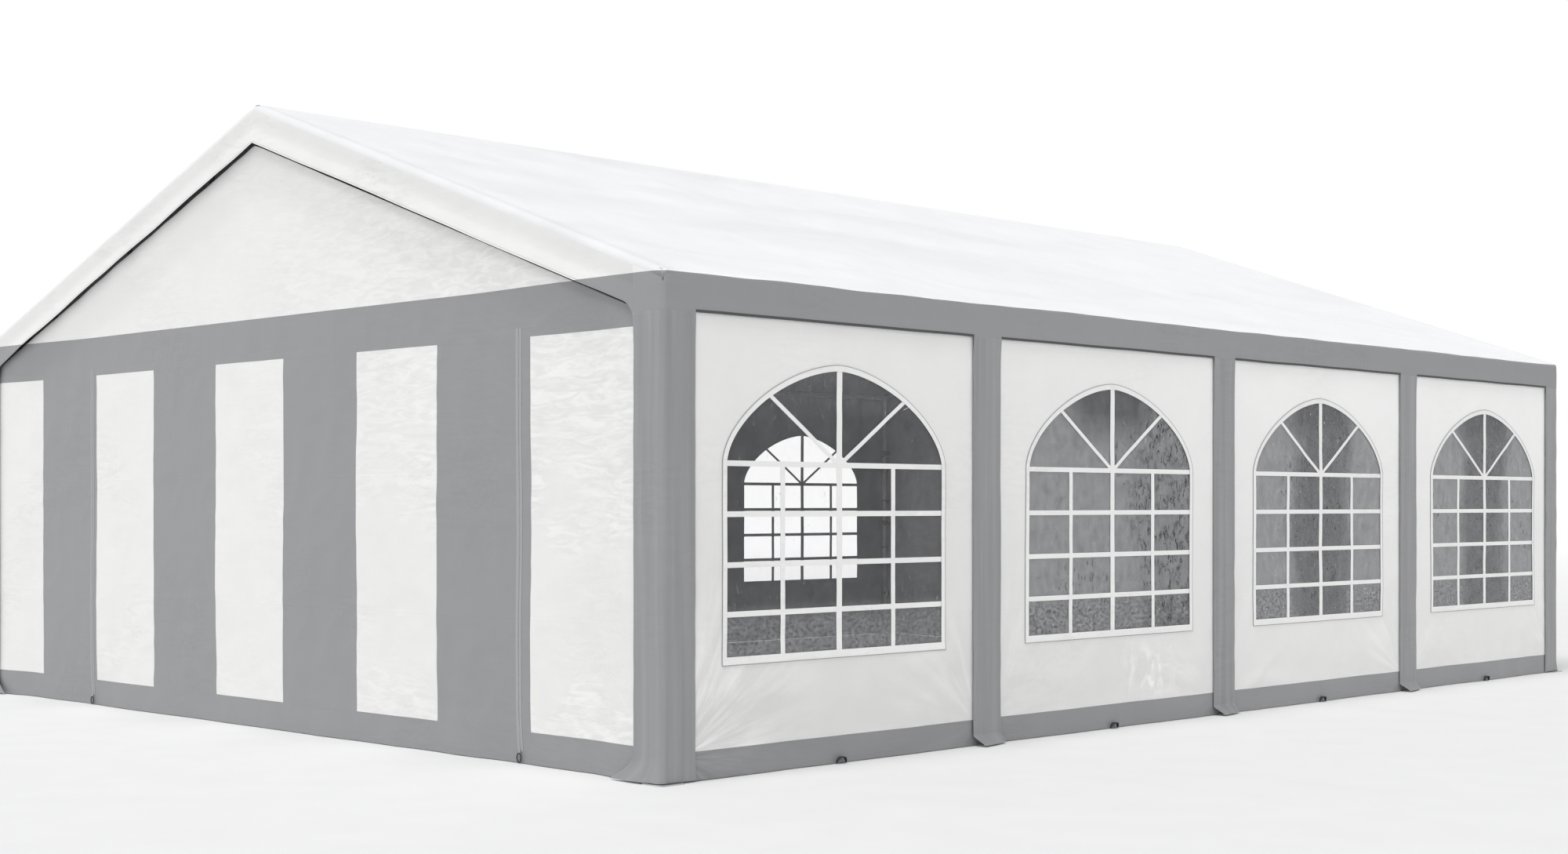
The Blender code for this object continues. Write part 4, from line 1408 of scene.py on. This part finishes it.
thread = new_material("grey_thread", thread_inputs)
for end, end_name in ENDS:
    u = spaced(-flap_half + 0.01, flap_half - 0.01, 0.02)
    rows = [flap_places(end, u, 0.0 * u + 1.0 - SEWN_IN / (FLAP_DROP - GABLE_BEND), STITCH_LIFT)]
    for low, high in zip(gable_edges, gable_edges[1:]):
        rows.append(on_gable(end, spaced(low + 0.02, high - 0.02, 0.025), WALL_HEM, STITCH_LIFT))
    sew(f"stitches_{end_name}", rows, (0.0, float(end), 0.0))
z = spaced(0.06, VALANCE_FOOT_Z - 0.005, 0.03)
for side, side_name in SIDES:
    rows = []
    for number, (middle, half) in enumerate(cover_places, 1):
        for way in (-1, 1):
            rows.append(cover_points(side, number, 0.0 * z + middle + way * (half - SEWN_IN), z, STITCH_LIFT))
    for middle in bay_middles:
        u = spaced(middle - bay_length / 2 + 0.12, middle + bay_length / 2 - 0.12, 0.025)
        v = 0.0 * u + WALL_HEM
        rows.append(on_side(side, u, v, wall_off(u, v, wall_seed(side)) + STITCH_LIFT))
    sew(f"stitches_{side_name}", rows, (float(side), 0.0, 0.0))


# Ties: loops of black elastic cord with a ball, pushed through the walls' edges and round every
# leg at four heights.
TIE_HEIGHTS = (0.36, 0.74, 1.14, 1.52)
TIE_CORD = 0.0026
TIE_REACH = 0.0215
TIE_SLANT = 0.004
BALL_RADIUS = 0.009
ties, balls = [], []
for side, _ in SIDES:
    for y in frame_ys:
        for height in TIE_HEIGHTS:
            ring = []
            for step in range(RING_STEPS):
                angle = 2 * math.pi * step / RING_STEPS
                x, across = TIE_REACH * math.cos(angle), TIE_REACH * math.sin(angle)
                ring.append((side * leg_x + x, y + across, height + TIE_SLANT * math.cos(angle)))
            ties.append(tube_mesh(ring, TIE_CORD))
            ball = bmesh.new()
            centre = Matrix.Translation((side * (leg_x - TIE_REACH - BALL_RADIUS), y, height - TIE_SLANT))
            bmesh.ops.create_uvsphere(ball, u_segments=12, v_segments=8, radius=BALL_RADIUS, matrix=centre)
            balls.append(plain_mesh(ball, "ball"))
joined("elastic_ties", ties, dark_cord)
joined("tie_balls", balls, dark_cord)


# Tabs: straps of dark polyester webbing, sewn to the gable walls' edges. Each is folded round an
# end leg or an end rafter and sewn down again, which holds the wall to the frame.
TAB_WIDTH = 0.04
TAB_THICKNESS = 0.0016
TAB_SEWN_LENGTH = 0.045
TAB_INSET = 0.01
TAB_TURNS = 14
TAB_RADIUS = SOCKET_RADIUS + 0.0022
LEG_TAB_HEIGHTS = (0.35, 0.95, 1.55)
RAFTER_TAB_PLACES = (0.45, 1.3, 2.15)


def tab_mesh(edge, tube, across):
    """A strap from the sheet's edge round a tube and back: its two ends lie on the sheet."""
    edge, tube, across = Vector(edge), Vector(tube), Vector(across)
    away = (tube - edge).normalized()
    sideways = across.cross(away)
    start = edge - away * TAB_SEWN_LENGTH
    path, ways = [start, edge], [-sideways, -sideways]
    for step in range(TAB_TURNS + 1):
        angle = math.pi * (step / TAB_TURNS - 0.5)
        way = away * math.cos(angle) + sideways * math.sin(angle)
        path.append(tube + way * TAB_RADIUS)
        ways.append(way)
    path += [edge - sideways * TAB_THICKNESS, start - sideways * TAB_THICKNESS]
    ways += [-sideways, -sideways]
    lines = [[point + across * TAB_WIDTH / 2 * way for point in path] for way in (-1, 1)]
    return strip_mesh(lines, TAB_THICKNESS, [tuple(way) for way in ways])


for end, end_name in ENDS:
    tabs = []
    y_sheet, y_tube = end * (GABLE_FACE_Y + GABLE_LEAN - 0.0022), end * frame_ys[-1]
    for side, _ in SIDES[::-1]:
        for height in LEG_TAB_HEIGHTS:
            edge = (side * (GABLE_HALF_WIDTH - TAB_INSET), y_sheet, height)
            tabs.append(tab_mesh(edge, (side * leg_x, y_tube, height), (0.0, 0.0, 1.0)))
        for place in RAFTER_TAB_PLACES:
            x = side * place
            z_edge = float(gable_top(np.array([-end * x]))[0]) - TAB_INSET
            y_edge = float(on_gable(end, -end * x, z_edge - TAB_SEWN_LENGTH, -0.006)[1])
            axis = (x, y_tube, eave_axis_z + (leg_x - place) * math.tan(roof_angle))
            down = (side * math.cos(roof_angle), 0.0, -math.sin(roof_angle))
            tabs.append(tab_mesh((x, y_edge, z_edge), axis, down))
    joined(f"gable_tabs_{end_name}", tabs, dark_cord)


# Floor and light: a plain pale floor, a soft key light from high over the gable, and a studio
# that is white all round and dimmer overhead.
FLOOR_REACH = 90.0
FLOOR_DARK = (0.86, 0.86, 0.86)
FLOOR_PALE = (0.88, 0.88, 0.88)
FLOOR_FAR = (0.985, 0.985, 0.985)
KEY_ENERGY = 1.76
KEY_SPREAD = math.radians(32)
KEY_WAY = (-0.065, 0.225, -0.51)
SKY_WHITE = (1.0, 1.0, 1.0)
SKY_OVERHEAD = (0.45, 0.45, 0.46)


def floor_inputs(tree):
    place = object_place(tree)
    length = wire(tree, "ShaderNodeVectorMath", {0: place}, "Value", operation="LENGTH")
    near_shade = place.noise(3.0).ramp(0.3, 0.7, FLOOR_DARK, FLOOR_PALE)
    shade = (length / FLOOR_REACH).ramp(0.12, 0.45, 0.0, 1.0).mix(near_shade, FLOOR_FAR)
    return {"Base Color": shade, "Roughness": 0.85}


floor_mesh = bpy.data.meshes.new("floor")
floor_corners = [(x * FLOOR_REACH, y * FLOOR_REACH, 0.0) for x, y in ((-1, -1), (1, -1), (1, 1), (-1, 1))]
floor_mesh.from_pydata(floor_corners, [], [(0, 1, 2, 3)])
floor_mesh.materials.append(new_material("floor_paint", floor_inputs))
floor = bpy.data.objects.new("floor", floor_mesh)
shown.link(floor)

key_data = bpy.data.lights.new("key_light", "SUN")
key_data.energy = KEY_ENERGY
key_data.angle = KEY_SPREAD
key_light = bpy.data.objects.new("key_light", key_data)
key_light.rotation_euler = Vector(KEY_WAY).to_track_quat("-Z", "Y").to_euler()
shown.link(key_light)

world = bpy.data.worlds.new("studio")
world.use_nodes = True
height = wire(world.node_tree, "ShaderNodeTexCoord", {}, "Generated").part("Z")
sky = {"Color": height.ramp(0.25, 0.50, SKY_WHITE, SKY_OVERHEAD)}
feed(world.node_tree, world.node_tree.nodes["Background"], sky)
bpy.context.scene.world = world
bpy.context.scene.view_settings.view_transform = "Standard"
